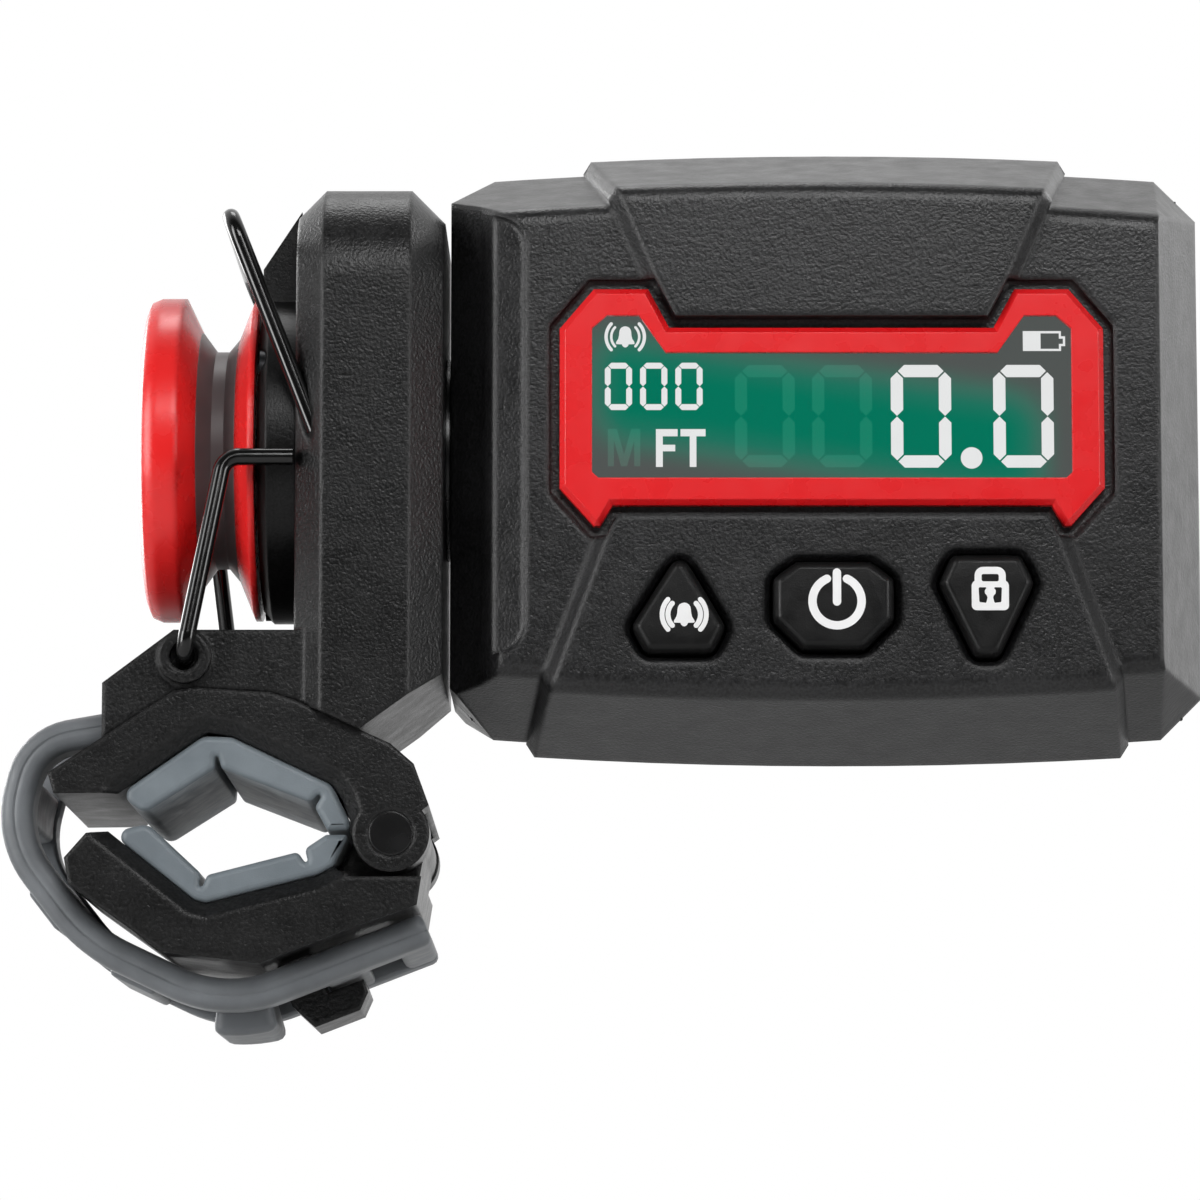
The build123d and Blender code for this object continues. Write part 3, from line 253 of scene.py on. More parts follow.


# The lighter colour of each textured plastic is mostly a painted glint on its grain's crests, with random
# drift of tone
CASE = textured_plastic("case_plastic", (0.0015, 0.0015, 0.0016), (0.0170, 0.0170, 0.0178),
                        grain_mm=0.25, depth_mm=0.044, roughness=0.32, edge_mm=0.8, gloss=0.48)
NYLON = textured_plastic("jaw_nylon", (0.0006, 0.0006, 0.0006), (0.0100, 0.0100, 0.0103),
                         grain_mm=0.30, depth_mm=0.062, roughness=0.33, edge_mm=0.6, gloss=0.40)
NECK = textured_plastic("neck_nylon", (0.0008, 0.0008, 0.0008), (0.0130, 0.0130, 0.0133),
                        grain_mm=0.27, depth_mm=0.058, roughness=0.32, edge_mm=0.6, gloss=0.37)
CAP = textured_plastic("cap_plastic", (0.0005, 0.0005, 0.0005), (0.0070, 0.0070, 0.0072),
                       grain_mm=0.22, depth_mm=0.022, roughness=0.34, edge_mm=0.3, gloss=0.26)
SATIN = smooth_plastic("satin_plastic", (0.003, 0.003, 0.0031), (0.005, 0.005, 0.0052), 0.25, edge_mm=0.25)
RED = smooth_plastic("red_plastic", (0.665, 0.0085, 0.0115), (0.68, 0.0095, 0.0125), 0.28,
                     edge_mm=0.15, peel=0.002)
RED_RIM = smooth_plastic("red_wheel", (0.69, 0.014, 0.014), (0.71, 0.016, 0.016), 0.26,
                         edge_mm=0.9, peel=0.002)
TREAD = smooth_plastic("tread_grey", (0.085, 0.072, 0.073), (0.112, 0.098, 0.099), 0.38, edge_mm=0.1)
WIRE = smooth_plastic("wire_coat", (0.002, 0.002, 0.002), (0.004, 0.004, 0.004), 0.14)
STEEL = metal("steel", (0.58, 0.58, 0.60), 0.3)
BLACKED = metal("blacked_steel", (0.030, 0.030, 0.032), 0.38)
# Magnets painted near black so the gap behind the wheel's inner flange stays dark: painted shade
MAGNET_SHADE = smooth_plastic("magnet_painted_shade", (0.010, 0.010, 0.011), (0.016, 0.016, 0.017), 0.35)
LINER = rubber("liner_rubber", (0.118, 0.140, 0.156), (0.150, 0.176, 0.194),
               grain_mm=0.14, depth_mm=0.012, roughness=0.48, Sheen_Weight=0.10)
STRAP = rubber("strap_rubber", (0.100, 0.108, 0.116), (0.128, 0.138, 0.148),
               grain_mm=0.14, depth_mm=0.012, roughness=0.50, Sheen_Weight=0.10)
KEYS = rubber("key_rubber", (0.0022, 0.0022, 0.0023), (0.0038, 0.0038, 0.0039),
              grain_mm=0.14, depth_mm=0.014, roughness=0.40, Specular_IOR_Level=0.28)
SEALS = rubber("seal_rubber", (0.006, 0.006, 0.006), (0.009, 0.009, 0.009),
               grain_mm=0.2, depth_mm=0.010, roughness=0.6)
ACETAL = smooth_plastic("acetal", (0.62, 0.62, 0.60), (0.68, 0.68, 0.66), 0.4)
BOARD = smooth_plastic("solder_mask", (0.006, 0.09, 0.035), (0.010, 0.12, 0.050), 0.3)
CHIP = smooth_plastic("chip_black", (0.012, 0.012, 0.012), (0.018, 0.018, 0.018), 0.45)
CELL = smooth_plastic("cell_wrap", (0.10, 0.10, 0.105), (0.14, 0.14, 0.145), 0.25)
GLOW = display_green("display_green")
GHOST = display_green("display_ghost", (0.010, 0.050, 0.034))
WHITE = lit("display_white", (0.88, 0.89, 0.89))
INK = smooth_plastic("white_ink", (0.74, 0.74, 0.74), (0.80, 0.80, 0.80), 0.5)


def window_glass():
    """Clear window: nearly invisible, with a clean gloss."""
    made = Shader("window_clear", (0.02, 0.03, 0.03), 0.05)
    made.sheen_range(made.noise(9, 2), 0.03, 0.07)
    made.main.inputs["Alpha"].default_value = 0.05
    return made.material


GLASS = window_glass()


# Making pieces
def paint(piece, material):
    """Give a piece one material."""
    piece.data.materials.clear()
    piece.data.materials.append(material)


def put(name, mesh, body, material, stands_for=()):
    """Make a piece from a mesh that is in metres and already in place."""
    piece = bpy.data.objects.new(name, mesh)
    bpy.context.scene.collection.objects.link(piece)
    paint(piece, material)
    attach(piece, body)
    if stands_for:
        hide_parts(*stands_for)
    return piece


def finish_mesh(work, name, smooth=True):
    """Turn a bmesh into a mesh."""
    mesh = bpy.data.meshes.new(name)
    work.to_mesh(mesh)
    work.free()
    for face in mesh.polygons:
        face.use_smooth = smooth
    return mesh


def weight_normals(piece):
    """Let large faces stay flat beside their rounded edges."""
    modifier = piece.modifiers.new("weighted", "WEIGHTED_NORMAL")
    modifier.mode = "FACE_AREA"
    modifier.weight = 80
    modifier.keep_sharp = True


# Body of each CAD node
BODY_OF = {node: body for body, nodes in frame["record"]["behaviour"]["bodies"].items() for node in nodes}
# Distance below which two corners are one, and the angle from which an edge gets rounded
SAME_POINT = 0.002 * MM
SHARP = math.radians(24)


def round_off(nodes, width_mm, material):
    """Stand-ins for nodes, with their sharp edges rounded as a moulding's are."""
    for node in nodes:
        work = bmesh.new()
        work.from_mesh(frame["nodes"][node].data)
        bmesh.ops.remove_doubles(work, verts=work.verts, dist=SAME_POINT)
        sharp = [e for e in work.edges if len(e.link_faces) == 2 and e.calc_face_angle(0) > SHARP]
        bmesh.ops.bevel(work, geom=sharp, offset=width_mm * MM, segments=2, profile=0.5,
                        affect="EDGES", clamp_overlap=False)
        name = node + "_finish"
        weight_normals(put(name, finish_mesh(work, name), BODY_OF[node], material, [node]))


# Looks of the CAD nodes that keep their shape
LOOKS = (
    (ACETAL, "lcd_frame cell_tray backlight"),
    (SATIN, "jaw_hinge_pin swivel_washer swivel_hub"),
    (WIRE, "line_guard line_gate"),
    (BLACKED, "cap_screws"),
    (STEEL, "jaw_screws strap_pin wheel_axle wheel_bearings swivel_ring case_screws battery_contacts"),
    # Magnets in painted shade
    (MAGNET_SHADE, "wheel_magnets"),
    (SEALS, "door_seal swivel_seal"),
    (BOARD, "main_board sensor_board"),
    (CHIP, "dome_switches buzzer sensor_cable"),
    (CELL, "battery_cells"),
    (GLOW, "lcd_panel"),
    (GLASS, "display_window"),
    (CASE, "front_shell rear_shell battery_door"),
    (NECK, "neck_body"),
    (CAP, "neck_cap"),
    (NYLON, "upper_jaw lower_jaw"),
    (RED, "display_bezel"),
    (RED_RIM, "wheel_outer_flange wheel_inner_flange"),
    (TREAD, "groove_ring"),
)
for look, nodes in LOOKS:
    for node in nodes.split():
        paint(frame["nodes"][node], look)
round_off(["alarm_button", "power_button", "lock_button"], 0.35, KEYS)
round_off(["wheel_screw"], 0.15, STEEL)


def tuck(node, share, material):
    """Stand-in for a seal, drawn in until it is flush with its joint."""
    work = bmesh.new()
    work.from_mesh(frame["nodes"][node].data)
    middle = sum(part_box(node), Vector()) / 2
    for vertex in work.verts:
        vertex.co.x = middle.x + (vertex.co.x - middle.x) * share
        vertex.co.z = middle.z + (vertex.co.z - middle.z) * share
    name = node + "_tucked"
    put(name, finish_mesh(work, name, False), BODY_OF[node], material, [node])


FLUSH = 0.9972
tuck("case_gasket", FLUSH, SEALS)


# Outlines (x, z) as seen from the front, in millimetres, and flat solids made from them
def arc_points(cx, cz, radius, start, end, steps):
    """Points along an arc, angles in degrees."""
    angles = [math.radians(start + (end - start) * i / steps) for i in range(steps + 1)]
    return [(cx + radius * math.cos(a), cz + radius * math.sin(a)) for a in angles]


def band(cx, cz, radius, width, start, end, steps=24):
    """Ring sector with round ends."""
    half = width / 2
    outer = arc_points(cx, cz, radius + half, start, end, steps)
    inner = arc_points(cx, cz, radius - half, end, start, steps)
    tip = math.radians(end)
    root = math.radians(start)
    far = arc_points(cx + radius * math.cos(tip), cz + radius * math.sin(tip), half, end, end + 180, 8)
    near = arc_points(cx + radius * math.cos(root), cz + radius * math.sin(root), half,
                      start + 180, start + 360, 8)
    return outer + far[1:-1] + inner + near[1:-1]


def pill(x0, z0, x1, z1, width):
    """Bar with round ends."""
    turn = math.degrees(math.atan2(z1 - z0, x1 - x0))
    far = arc_points(x1, z1, width / 2, turn - 90, turn + 90, 8)
    return far + arc_points(x0, z0, width / 2, turn + 90, turn + 270, 8)


def soft_box(x0, z0, x1, z1, radius):
    """Rectangle with round corners."""
    corners = ((x1 - radius, z0 + radius, -90), (x1 - radius, z1 - radius, 0),
               (x0 + radius, z1 - radius, 90), (x0 + radius, z0 + radius, 180))
    return [p for cx, cz, start in corners for p in arc_points(cx, cz, radius, start, start + 90, 6)]


def fillet_loop(corners, closed=True, step=0.35):
    """Points of an outline whose corners (x, z, radius) are rounded."""
    points = []
    count = len(corners)
    for i, (x, z, radius) in enumerate(corners):
        here = Vector((x, z))
        if not closed and i in (0, count - 1) or radius <= 0:
            points.append((x, z))
            continue
        before = Vector(corners[i - 1][:2]) - here
        after = Vector(corners[(i + 1) % count][:2]) - here
        turn = before.angle(after)
        reach = radius / math.tan(turn / 2)
        limit = 0.49 * min(before.length, after.length)
        if reach > limit:
            reach = limit
            radius = reach * math.tan(turn / 2)
        start = here + before.normalized() * reach
        end = here + after.normalized() * reach
        inward = (before.normalized() + after.normalized()).normalized()
        centre = here + inward * (radius / math.sin(turn / 2))
        steps = max(2, round((math.pi - turn) * radius / step) + 2)
        a = start - centre
        swing = a.angle_signed(end - centre)
        for k in range(steps + 1):
            angle = -swing * k / steps
            points.append((centre.x + a.x * math.cos(angle) - a.y * math.sin(angle),
                           centre.y + a.x * math.sin(angle) + a.y * math.cos(angle)))
    return points


def mesh_of(name, curve):
    """Mesh of a curve that is then thrown away."""
    holder = bpy.data.objects.new(name + "_outline", curve)
    bpy.context.scene.collection.objects.link(holder)
    bpy.context.view_layer.update()
    mesh = bpy.data.meshes.new_from_object(holder.evaluated_get(bpy.context.evaluated_depsgraph_get()))
    bpy.data.objects.remove(holder)
    return mesh


def flat_loops(name, loops, y_mm, thick_mm, body, material, bevel_mm=0.0, rounds=0):
    """Thin solid from closed front-view loops in millimetres, holes where loops nest."""
    curve = bpy.data.curves.new(name, "CURVE")
    curve.dimensions = "2D"
    curve.fill_mode = "BOTH"
    curve.extrude = thick_mm / 2 - bevel_mm
    curve.bevel_depth = bevel_mm
    curve.bevel_resolution = rounds
    curve.offset = -bevel_mm
    for loop in loops:
        spline = curve.splines.new("POLY")
        spline.points.add(len(loop) - 1)
        for point, (x, z) in zip(spline.points, loop):
            point.co = (x, z, 0, 1)
        spline.use_cyclic_u = True
    mesh = mesh_of(name, curve)
    for vertex in mesh.vertices:
        x, z, out = vertex.co
        vertex.co = (x * MM, (y_mm - out) * MM, z * MM)
    piece = put(name, mesh, body, material)
    if rounds:
        for face in mesh.polygons:
            face.use_smooth = True
        weight_normals(piece)
    return piece


# Screws on the back. Share of the head that a slot or cross reaches, and half its width
CUT_REACH, CUT_HALF = 0.64, 0.4
# Radius of a case screw's head, and the edge that a face layer leaves free
CASE_HEAD, HEAD_EDGE = 2.3, 0.12


def disc(x, z, radius):
    """Outline of a screw's head."""
    return arc_points(x, z, radius, 0, 352.5, 47)


def cut_shape(x, z, reach, cross, turn):
    """Outline of a screw's slot or cross, turned by an angle."""
    half = CUT_HALF
    corners = [(reach, -half), (reach, half), (-reach, half), (-reach, -half)]
    if cross:
        corners = [(reach, -half), (reach, half), (half, half), (half, reach), (-half, reach), (-half, half),
                   (-reach, half), (-reach, -half), (-half, -half), (-half, -reach), (half, -reach),
                   (half, -half)]
    cos, sin = math.cos(math.radians(turn)), math.sin(math.radians(turn))
    return [(x + a * cos - b * sin, z + a * sin + b * cos) for a, b in corners]


def screw_faces(name, places, radius, y_mm, cross, turns):
    """Face layer of screws on the back, each with its slot or cross at its own angle."""
    loops = []
    for (x, z), turn in zip(places, turns):
        loops += [disc(x, z, radius), cut_shape(x, z, radius * CUT_REACH, cross, turn)]
    flat_loops(name, loops, y_mm, 0.6, "head", STEEL, bevel_mm=0.1, rounds=2)


def add_door_screws():
    """Battery door's screws, from a base and a slotted face."""
    low, high = (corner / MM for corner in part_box("door_screws"))
    head, level = (high.z - low.z) / 2, (low.z + high.z) / 2
    places = [(low.x + head, level), (high.x - head, level)]
    radius = head - HEAD_EDGE
    base = flat_loops("door_screw_bases", [disc(x, z, radius) for x, z in places], high.y - 0.9, 0.5,
                      "head", STEEL)
    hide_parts("door_screws")
    screw_faces("door_screw_heads", places, radius, high.y - 0.4, False, (34, 71))


def add_case_screws():
    """Crossed faces on the heads of the four case screws."""
    low, high = (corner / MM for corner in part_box("case_screws"))
    columns, rows = (low.x + CASE_HEAD, high.x - CASE_HEAD), (low.z + CASE_HEAD, high.z - CASE_HEAD)
    places = [(x, z) for x in columns for z in rows]
    screw_faces("case_screw_heads", places, CASE_HEAD - HEAD_EDGE, high.y + 0.2, True, (12, 40, 65, 28))


add_door_screws()
add_case_screws()


# Rubber pieces, in millimetres
# Slit at a fold: how deep it goes, half its mouth, and the radii of its lips and of its end
SLIT_DEPTH, SLIT_LIP, LIP_RADIUS, TIP_RADIUS = 1.7, 0.34, 0.55, 0.16
LINER_DEPTH, LINER_ROUND = 30.8, 0.55


def notched(corners, places):
    """Outline corners with a slit cut into the rubber at some of them."""
    out = []
    for i, (x, z, radius) in enumerate(corners):
        if i not in places:
            out.append((x, z, radius))
            continue
        here = Vector((x, z))
        before = (Vector(corners[i - 1][:2]) - here).normalized()
        after = (Vector(corners[(i + 1) % len(corners)][:2]) - here).normalized()
        tip = here - (before + after).normalized() * SLIT_DEPTH
        first = here + before * SLIT_LIP
        last = here + after * SLIT_LIP
        out += [(first.x, first.y, LIP_RADIUS), (tip.x, tip.y, TIP_RADIUS), (last.x, last.y, LIP_RADIUS)]
    return out


def liner(name, node, corners, body):
    """Rubber liner with round ends and slits at its folds."""
    piece = flat_loops(name, [fillet_loop(corners)], 0, LINER_DEPTH, body, LINER,
                       bevel_mm=LINER_ROUND, rounds=4)
    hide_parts(node)


# Middle line of the strap as corners (x, z, radius), from its pin to its end
STRAP_CORNERS = ((-8.4, 8.8, 0), (-17.6, 7.2, 5), (-19.6, -1.0, 10),
                 (-12.6, -10.0, 14), (-0.8, -15.6, 11), (16.6, -8.9, 0))
# Across: outer and inner side of a rail, and half the width of a rung and of the grip rung
RAIL_OUTER, RAIL_INNER = 13.0, 8.2
RUNG_HALF, GRIP_HALF = 8.6, 8.0
# Outward from the middle line: inner side of every rung, and outer side of a rung, the grip and the end
RUNG_IN, RUNG_OUT, GRIP_OUT, END_OUT = -1.15, 1.75, 3.3, 1.35
# Along: from rung to rung, a rung, half a hole, and from the last hole's middle to the strap's end
RUNG_PITCH, RUNG, HALF_HOLE, STRAP_END = 9.4, 4.4, 2.5, 12.4
# Radius of the barrel round the pin
EYE_RADIUS = 1.75
# Length of the strap that hangs at its pin
ROOT_LENGTH = 11.0


def strap_line():
    """Dense middle line of the strap with its lengths."""
    points = [Vector(p) for p in fillet_loop(STRAP_CORNERS, False, 0.25)]
    lengths = [0]
    for a, b in zip(points, points[1:]):
        lengths.append(lengths[-1] + (b - a).length)
    return points, lengths


def strap_at(distance, line):
    """Place and direction on the strap's middle line."""
    points, lengths = line
    distance = min(max(distance, 0), lengths[-1] - 1e-6)
    i = max(k for k, length in enumerate(lengths) if length <= distance)
    i = min(i, len(points) - 2)
    share = (distance - lengths[i]) / (lengths[i + 1] - lengths[i])
    here, there = points[i], points[i + 1]
    behind = (there - here).normalized()
    beyond = points[min(i + 2, len(points) - 1)] - there
    ahead = beyond.normalized() if beyond.length else behind
    return here.lerp(there, share), behind.lerp(ahead, share).normalized()


def add_sweep(work, line, profile, stations):
    """Skin a profile of (across, outward) points along the strap, with (distance, shrink) stations.

    An end whose shrink is 0 stays open, because the next piece of the strap goes on there.
    """
    across, out = zip(*profile)
    middle_y, half_y = (min(across) + max(across)) / 2, (max(across) - min(across)) / 2
    middle_n, half_n = (min(out) + max(out)) / 2, (max(out) - min(out)) / 2
    rings = []
    for distance, shrink in stations:
        place, tangent = strap_at(distance, line)
        ring = []
        for y, n in profile:
            side = middle_y + (y - middle_y) * (1 - shrink / half_y)
            lift = middle_n + (n - middle_n) * (1 - shrink / half_n)
            x, z = place.x + tangent.y * lift, place.y - tangent.x * lift
            ring.append(work.verts.new((x * MM, side * MM, z * MM)))
        rings.append(ring)
    for a, b in zip(rings, rings[1:]):
        for i in range(len(profile)):
            k = (i + 1) % len(profile)
            work.faces.new((a[i], a[k], b[k], b[i]))
    if stations[0][1]:
        work.faces.new(rings[0][::-1])
    if stations[-1][1]:
        work.faces.new(rings[-1])


def block_stations(start, end, round_mm, step=0.8):
    """Stations of a bar whose two ends are rounded."""
    count = max(1, round((end - start) / step))
    angles = [math.pi / 6 * i for i in range(4)]
    ends = [(round_mm * (1 - math.cos(a)), round_mm * (1 - math.sin(a))) for a in angles]
    first = [(start + along, shrink) for along, shrink in ends]
    last = [(end - along, shrink) for along, shrink in reversed(ends)]
    low, high = start + round_mm, end - round_mm
    between = [(low + (high - low) * i / count, 0) for i in range(1, count)]
    return first + between + last


def rung(out, round_mm, half=RUNG_HALF):
    """Cross-section of a rung up to its outer side."""
    return soft_box(-half, RUNG_IN, half, out, round_mm)


def rail(side):
    """Cross-section of one D-shaped rail with a fine groove along its outer side."""
    arc = [math.radians(v) for v in (90, 72, 54, 36, 18, 0)]
    curve = [(RAIL_OUTER - 1.05 + 1.05 * math.cos(a), 0.35 + 1.05 * math.sin(a)) for a in arc]
    groove = [(RAIL_OUTER, 0.28), (RAIL_OUTER - 0.14, 0.18), (RAIL_OUTER, 0.08)]
    back = [(RAIL_INNER + 0.4, -1.4), (RAIL_INNER, -1.0), (RAIL_INNER, 1.0), (RAIL_INNER + 0.4, 1.4)]
    points = curve + groove + [(y, -n) for y, n in reversed(curve)] + back
    points = [(side * y, n) for y, n in points]
    return points if side < 0 else points[::-1]


def make_strap():
    """Ladder strap: two rails, rungs, a thick grip rung and a plain end. Its root at the pin is a piece of
    its own.
    """
    line = strap_line()
    total = line[1][-1]
    root, free = bmesh.new(), bmesh.new()
    stations = block_stations(0, total, 0.7, 0.7)
    near = [s for s in stations if s[0] < ROOT_LENGTH] + [(ROOT_LENGTH, 0)]
    far = [(ROOT_LENGTH, 0)] + [s for s in stations if s[0] > ROOT_LENGTH]
    for side in (-1, 1):
        add_sweep(root, line, rail(side), near)
        add_sweep(free, line, rail(side), far)
    last = total - STRAP_END
    for i in range(1, 5):
        high = last - RUNG_PITCH * i - HALF_HOLE
        add_sweep(root if high < ROOT_LENGTH else free, line, rung(RUNG_OUT, 0.5),
                  block_stations(high - RUNG, high, 0.5))
    high, low = last - HALF_HOLE, last + HALF_HOLE
    add_sweep(free, line, rung(GRIP_OUT, 0.7, GRIP_HALF), block_stations(high - RUNG, high, 0.7))
    add_sweep(free, line, rung(END_OUT, 0.5), block_stations(low, low + 3.9, 0.4))
    add_sweep(free, line, rung(END_OUT, 0.5), block_stations(total - 3.1, total, 0.7))
    eye = arc_points(*STRAP_CORNERS[0][:2], EYE_RADIUS, 0, 345, 23)
    front = [root.verts.new((x * MM, -RAIL_OUTER * MM, z * MM)) for x, z in eye]
    back = [root.verts.new((x * MM, RAIL_OUTER * MM, z * MM)) for x, z in eye]
    for i in range(len(eye)):
        k = (i + 1) % len(eye)
        root.faces.new((front[i], front[k], back[k], back[i]))
    root.faces.new(front[::-1])
    root.faces.new(back)
    for work in (root, free):
        bmesh.ops.recalc_face_normals(work, faces=work.faces)
    weight_normals(put("strap", finish_mesh(free, "strap"), "strap", STRAP, ["ladder_strap"]))
    piece = bpy.data.objects.new("strap_root", finish_mesh(root, "strap_root"))
    bpy.context.scene.collection.objects.link(piece)
    paint(piece, STRAP)
    weight_normals(piece)
    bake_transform(piece)


# Liners as corners (x, z, radius), with slits at two folds
upper = [(-9.9, 2.3, 1.3), (-2.64, 7.4, 1.6), (-0.1, 7.30, 1.6), (8.48, 3.2, 1.4), (10.1, -0.1, 1.2),
         (10.0, -0.75, 0.3), (8.1, -0.75, 0.3), (6.84, 1.56, 0), (-1.36, 4.72, 0), (-7.6, 0.75, 1.1)]
liner("liner_above", "upper_liner", notched(upper, (7, 8)), "clamp")
lower = [(10.0, -1.1, 0.3), (8.64, -3.88, 1.2), (7.28, -4.60, 1.2), (-2.24, -7.0, 1.4), (-3.24, -6.76, 1.4),
         (-10.6, -0.9, 1.1), (-7.32, -0.15, 1.3), (-2.5, -4.64, 0), (5.9, -2.5, 0), (8.0, -1.1, 0.3)]
liner("liner_below", "lower_liner", notched(lower, (7, 8)), "jaw")
make_strap()


# Signs on the display and the keys, and how thick they are
MARK, PRINT = 0.06, 0.05


def segment(ax, az, bx, bz, thick):
    """Bar of a digit with pointed ends."""
    along = Vector((bx - ax, bz - az)).normalized()
    side = Vector((-along.y, along.x)) * thick / 2
    a, b, inset = Vector((ax, az)), Vector((bx, bz)), along * thick / 2
    return [tuple(p) for p in (a, a + inset - side, b - inset - side, b, b - inset + side, a + inset + side)]


def zero(x, z, width, height, thick):
    """Six lit segments of a nought."""
    left, right = x + thick / 2, x + width - thick / 2
    low, high, middle = z + thick / 2, z + height - thick / 2, z + height / 2
    gap, hair = thick * 0.10, thick * 0.03
    loops = [segment(left + gap, level, right - gap, level, thick) for level in (low, high)]
    for column in (left, right):
        loops.append(segment(column, low + gap, column, middle - hair, thick))
        loops.append(segment(column, middle + hair, column, high - gap, thick))
    return loops


# Right half of a bell's outline, from its top to its clapper
BELL = ((0.0, 1.06), (0.22, 1.02), (0.42, 0.90), (0.55, 0.70), (0.60, 0.45), (0.62, 0.15),
        (0.70, -0.20), (0.90, -0.52), (0.94, -0.66), (0.88, -0.74), (0.34, -0.76), (0.28, -0.92),
        (0.14, -1.04), (0.0, -1.08))
# Half the angle that the sound arcs beside a bell span
SOUND = 43


def bell(cx, cz, size, inner, outer):
    """Bell with two arcs each side, arcs given as (radius, width) in millimetres."""
    shape = [(cx + a * size, cz + b * size) for a, b in BELL]
    shape += [(cx - a * size, cz + b * size) for a, b in BELL[-2:0:-1]]
    loops = [shape]
    for radius, width in (inner, outer):
        loops.append(band(cx, cz, radius, width, -SOUND, SOUND, 14))
        loops.append(band(cx, cz, radius, width, 180 - SOUND, 180 + SOUND, 14))
    return loops


def strokes(x, z, height, lines):
    """Letter of a height from outlines given in units of it."""
    return [[(x + a * height, z + b * height) for a, b in line] for line in lines]


# Letters as outlines in units of their height
LETTER_F = [[(0, 0), (0.18, 0), (0.18, 0.415), (0.505, 0.415), (0.505, 0.585), (0.18, 0.585), (0.18, 0.812),
             (0.568, 0.812), (0.568, 1), (0, 1)]]
LETTER_T = [[(0.24, 0), (0.415, 0), (0.415, 0.812), (0.655, 0.812), (0.655, 1), (0, 1), (0, 0.812),
             (0.24, 0.812)]]
LETTER_M = [[(0, 0), (0.16, 0), (0.16, 0.70), (0.35, 0), (0.51, 0), (0.70, 0.70), (0.70, 0), (0.86, 0),
             (0.86, 1), (0.62, 1), (0.43, 0.32), (0.24, 1), (0, 1)]]


def lock_shape(mid, low):
    """Padlock with a keyhole between two openings of its body."""
    body = soft_box(mid - 1.60, low, mid + 1.60, low + 2.42, 0.42)
    right = [(a, b) for a, b in body if a > mid and b < low + 1.5]
    shackle = soft_box(mid - 1.34, low + 1.0, mid + 1.34, low + 3.76, 0.74)
    shoulder = [(mid + 1.60, low + 2.20), (mid + 1.50, low + 2.42), (mid + 1.34, low + 2.56)]
    crown = [(a, b) for a, b in shackle if a > mid and b > low + 2.6]
    half = right + shoulder + crown
    outline = half + [(2 * mid - a, b) for a, b in reversed(half)]
    hole = [(0.95, 0.80), (0.90, 0.70), (0.40, 0.64), (0.34, 0.70), (0.24, 1.10), (0.30, 1.28), (0.45, 1.45),
            (0.47, 1.72), (0.33, 1.92), (0.40, 1.99), (0.92, 1.99), (1.0, 1.90)]
    loops = [outline, soft_box(mid - 0.74, low + 2.50, mid + 0.74, low + 3.14, 0.16)]
    return loops + [[(mid + side * a, low + b) for a, b in hole] for side in (-1, 1)]


def display_mark(name, loops, material=WHITE):
    """Sign on the LCD panel's face."""
    flat_loops(name, loops, LCD_FACE - MARK / 2, MARK, "head", material)


def key_sign(name, loops, key):
    """Sign printed on a key."""
    flat_loops(name, loops, KEY_FACE - PRINT / 2, PRINT, key, INK)


small = [loop for x in (31.92, 34.99, 38.06) for loop in zero(x, 36.10, 2.37, 4.16, 0.51)]
display_mark("display_count", small)
large = [loop for x in (56.80, 65.71) for loop in zero(x, 31.03, 5.25, 9.04, 1.07)]
display_mark("display_digits", large + [arc_points(63.79, 31.88, 0.94, 0, 350, 35)])
ghost = [loop for x in (43.23, 49.95) for loop in zero(x, 31.06, 5.22, 9.0, 1.07)]
ghost += strokes(32.18, 31.15, 3.28, LETTER_M)
display_mark("display_ghost", ghost, GHOST)
units = strokes(36.36, 31.09, 3.32, LETTER_F) + strokes(38.50, 31.09, 3.32, LETTER_T)
display_mark("display_units", units)
display_mark("display_bell", bell(33.70, 42.56, 0.87, (1.22, 0.22), (1.67, 0.29)))
case = [(68.34, 41.31), (71.66, 41.31), (71.66, 41.74), (72.02, 41.74), (72.02, 42.60), (71.66, 42.60),
        (71.66, 43.06), (68.34, 43.06)]
hole = [(69.88, 41.49), (71.48, 41.49), (71.48, 41.93), (71.83, 41.93), (71.83, 42.40), (71.48, 42.40),
        (71.48, 42.87), (69.88, 42.87)]
display_mark("display_battery", [case, hole])

key_sign("alarm_sign", bell(38.73, 17.67, 0.96, (1.40, 0.44), (1.90, 0.42)), "alarm_key")
power = [band(51.86, 18.83, 2.11, 0.72, 114, 426, 40), pill(51.86, 18.78, 51.86, 21.30, 0.72)]
key_sign("power_sign", power, "power_key")
key_sign("lock_sign", lock_shape(65.03, 18.03), "lock_key")


# Stage, lights and camera, in metres
FLOOR_HALF, FLOOR_LOW = 1.6, -0.085
# Strength of the room that gloss mirrors in front of the part and behind it
ROOM, BEHIND = 0.05, 1.0


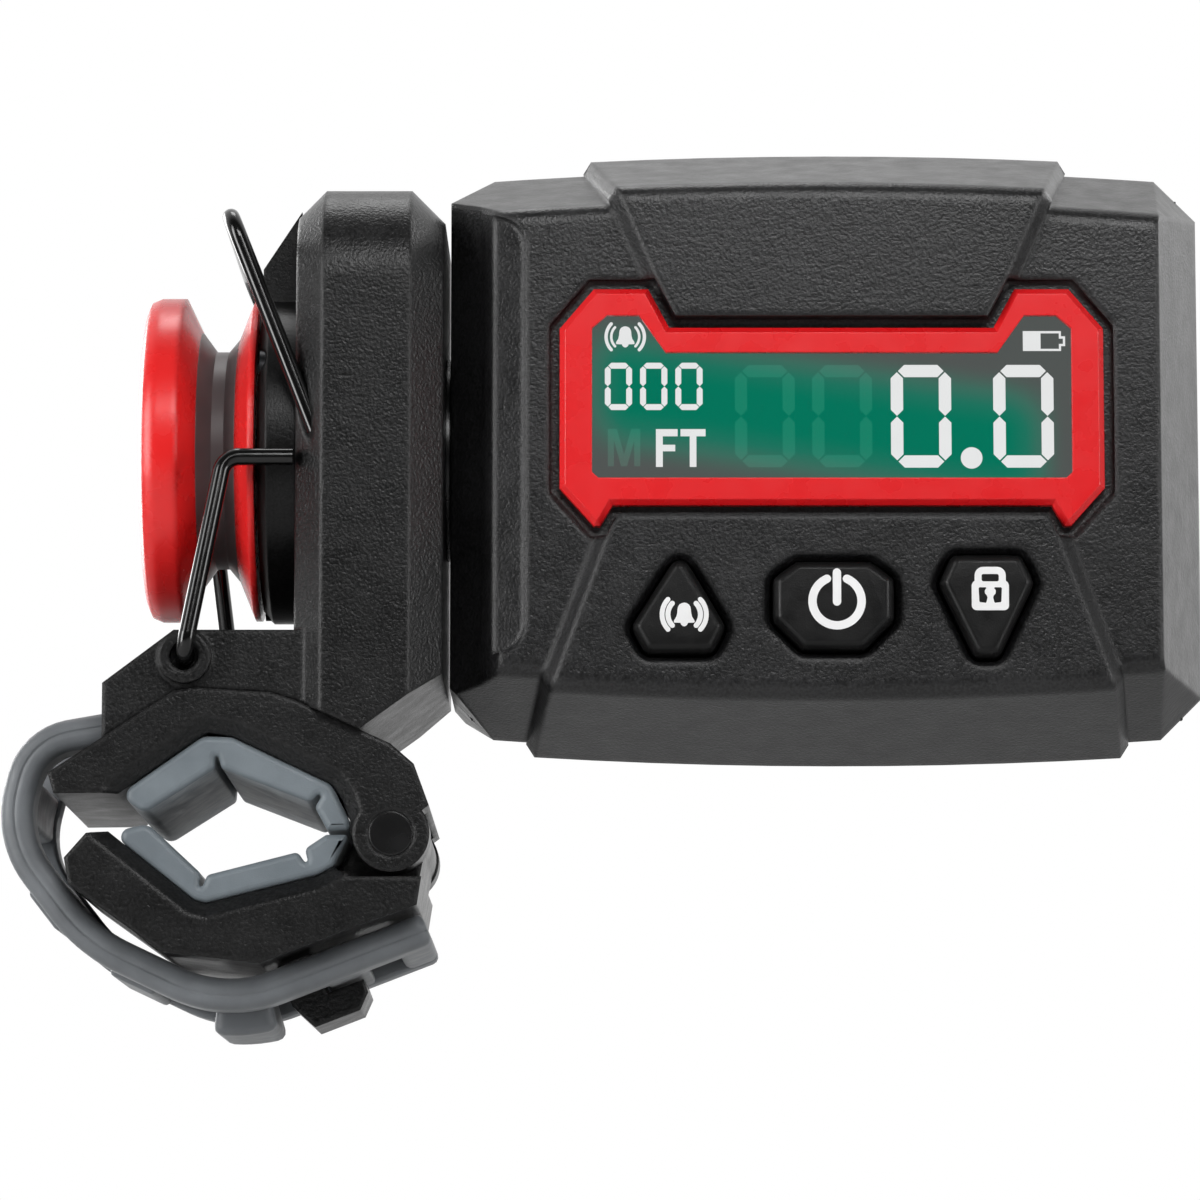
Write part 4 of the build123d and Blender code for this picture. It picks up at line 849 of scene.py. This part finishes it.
def add_stage():
    """Pale floor that glows for the camera, through glass, and where gloss mirrors its far part."""
    mesh = bpy.data.meshes.new("floor")
    corners = ((-1, -1), (1, -1), (1, 1), (-1, 1))
    mesh.from_pydata([(a * FLOOR_HALF, b * FLOOR_HALF, FLOOR_LOW) for a, b in corners], [], [(0, 1, 2, 3)])
    floor = bpy.data.objects.new("floor", mesh)
    bpy.context.scene.collection.objects.link(floor)
    made = Shader("floor_pale", (0.62, 0.62, 0.62), 0.7)
    made.shades(made.noise(60, 3), (0.60, 0.60, 0.60), (0.63, 0.63, 0.63))
    rays = made.add("ShaderNodeLightPath").outputs
    gloss = made.math("MULTIPLY", rays["Is Glossy Ray"], made.fade(made.axes()["Y"], 0.35, 0.90))
    seen = made.math("MAXIMUM", rays["Is Camera Ray"], rays["Is Transmission Ray"])
    seen = made.math("MAXIMUM", seen, gloss)
    pale = made.add("ShaderNodeEmission")
    pale.inputs["Color"].default_value = (0.9, 0.9, 0.9, 1)
    surface = made.mix(made.math("MULTIPLY", seen, 0.7), made.main.outputs[0], pale.outputs[0])
    made.link(surface, made.tree.nodes["Material Output"].inputs["Surface"])
    paint(floor, made.material)


def add_light(name, place, aim, width, height, power):
    """Soft rectangular light."""
    data = bpy.data.lights.new(name, "AREA")
    data.shape = "RECTANGLE"
    data.size = width
    data.size_y = height
    data.energy = power
    light = bpy.data.objects.new(name, data)
    light.location = place
    light.rotation_euler = (Vector(aim) - Vector(place)).to_track_quat("-Z", "Y").to_euler()
    light.visible_camera = False
    bpy.context.scene.collection.objects.link(light)


def add_world():
    """Plain room that is white for the camera, through glass, and where gloss mirrors what lies behind."""
    world = bpy.data.worlds.new("studio")
    bpy.context.scene.world = world
    world.use_nodes = True
    world.node_tree.nodes.clear()
    made = Nodes(world.node_tree, "Generated")

    def background(strength):
        node = made.add("ShaderNodeBackground")
        node.inputs["Color"].default_value = (1, 1, 1, 1)
        node.inputs["Strength"].default_value = strength
        return node.outputs[0]

    rays = made.add("ShaderNodeLightPath").outputs
    gloss = made.math("MULTIPLY", rays["Is Glossy Ray"], made.fade(made.axes()["Y"], -0.35, 0.25))
    seen = made.math("MAXIMUM", rays["Is Camera Ray"], rays["Is Transmission Ray"])
    room = made.mix(gloss, background(ROOM), background(BEHIND))
    out = made.add("ShaderNodeOutputWorld")
    made.link(made.mix(seen, room, background(1.0)), out.inputs["Surface"])


def add_camera():
    """Camera of the photograph, a little below the part and looking up."""
    look = Vector((0, math.cos(TILT), math.sin(TILT)))
    up = Vector((0, -math.sin(TILT), math.cos(TILT)))
    data = bpy.data.cameras.new("camera")
    data.lens = LENS
    data.sensor_width = 36
    data.clip_start = 0.01
    camera = bpy.data.objects.new("camera", data)
    camera.location = (AIM - look * DISTANCE - up * RISE) * MM
    camera.rotation_euler = (math.radians(90) + TILT, 0, 0)
    bpy.context.scene.collection.objects.link(camera)
    bpy.context.scene.camera = camera


CENTRE = (0.03, 0, 0.03)
# Name, place, aim, width, height and power of each light
LIGHTS = (
    ("key", (0.10, -0.40, 0.26), (0.05, 0, 0.03), 0.25, 0.12, 0.88),
    ("left_front", (-0.28, -0.22, 0.10), (0, 0, 0.03), 0.12, 0.30, 0.70),
    ("left_wide", (-0.42, -0.25, 0.08), CENTRE, 0.15, 0.30, 0.85),
    ("right_wide", (0.50, -0.25, 0.08), CENTRE, 0.15, 0.30, 1.0),
    ("back_left", (-0.35, 0.38, 0.145), CENTRE, 0.30, 0.30, 1.8),
    ("back_right", (0.487, 0.243, 0.26), CENTRE, 0.25, 0.20, 0.7),
    ("over", (0.0, 0.105, 0.383), (0.01, -0.015, 0.05), 0.14, 0.12, 0.22),
)

add_stage()
add_world()
add_camera()
for light in LIGHTS:
    add_light(*light)

bpy.context.scene.view_settings.view_transform = "Standard"
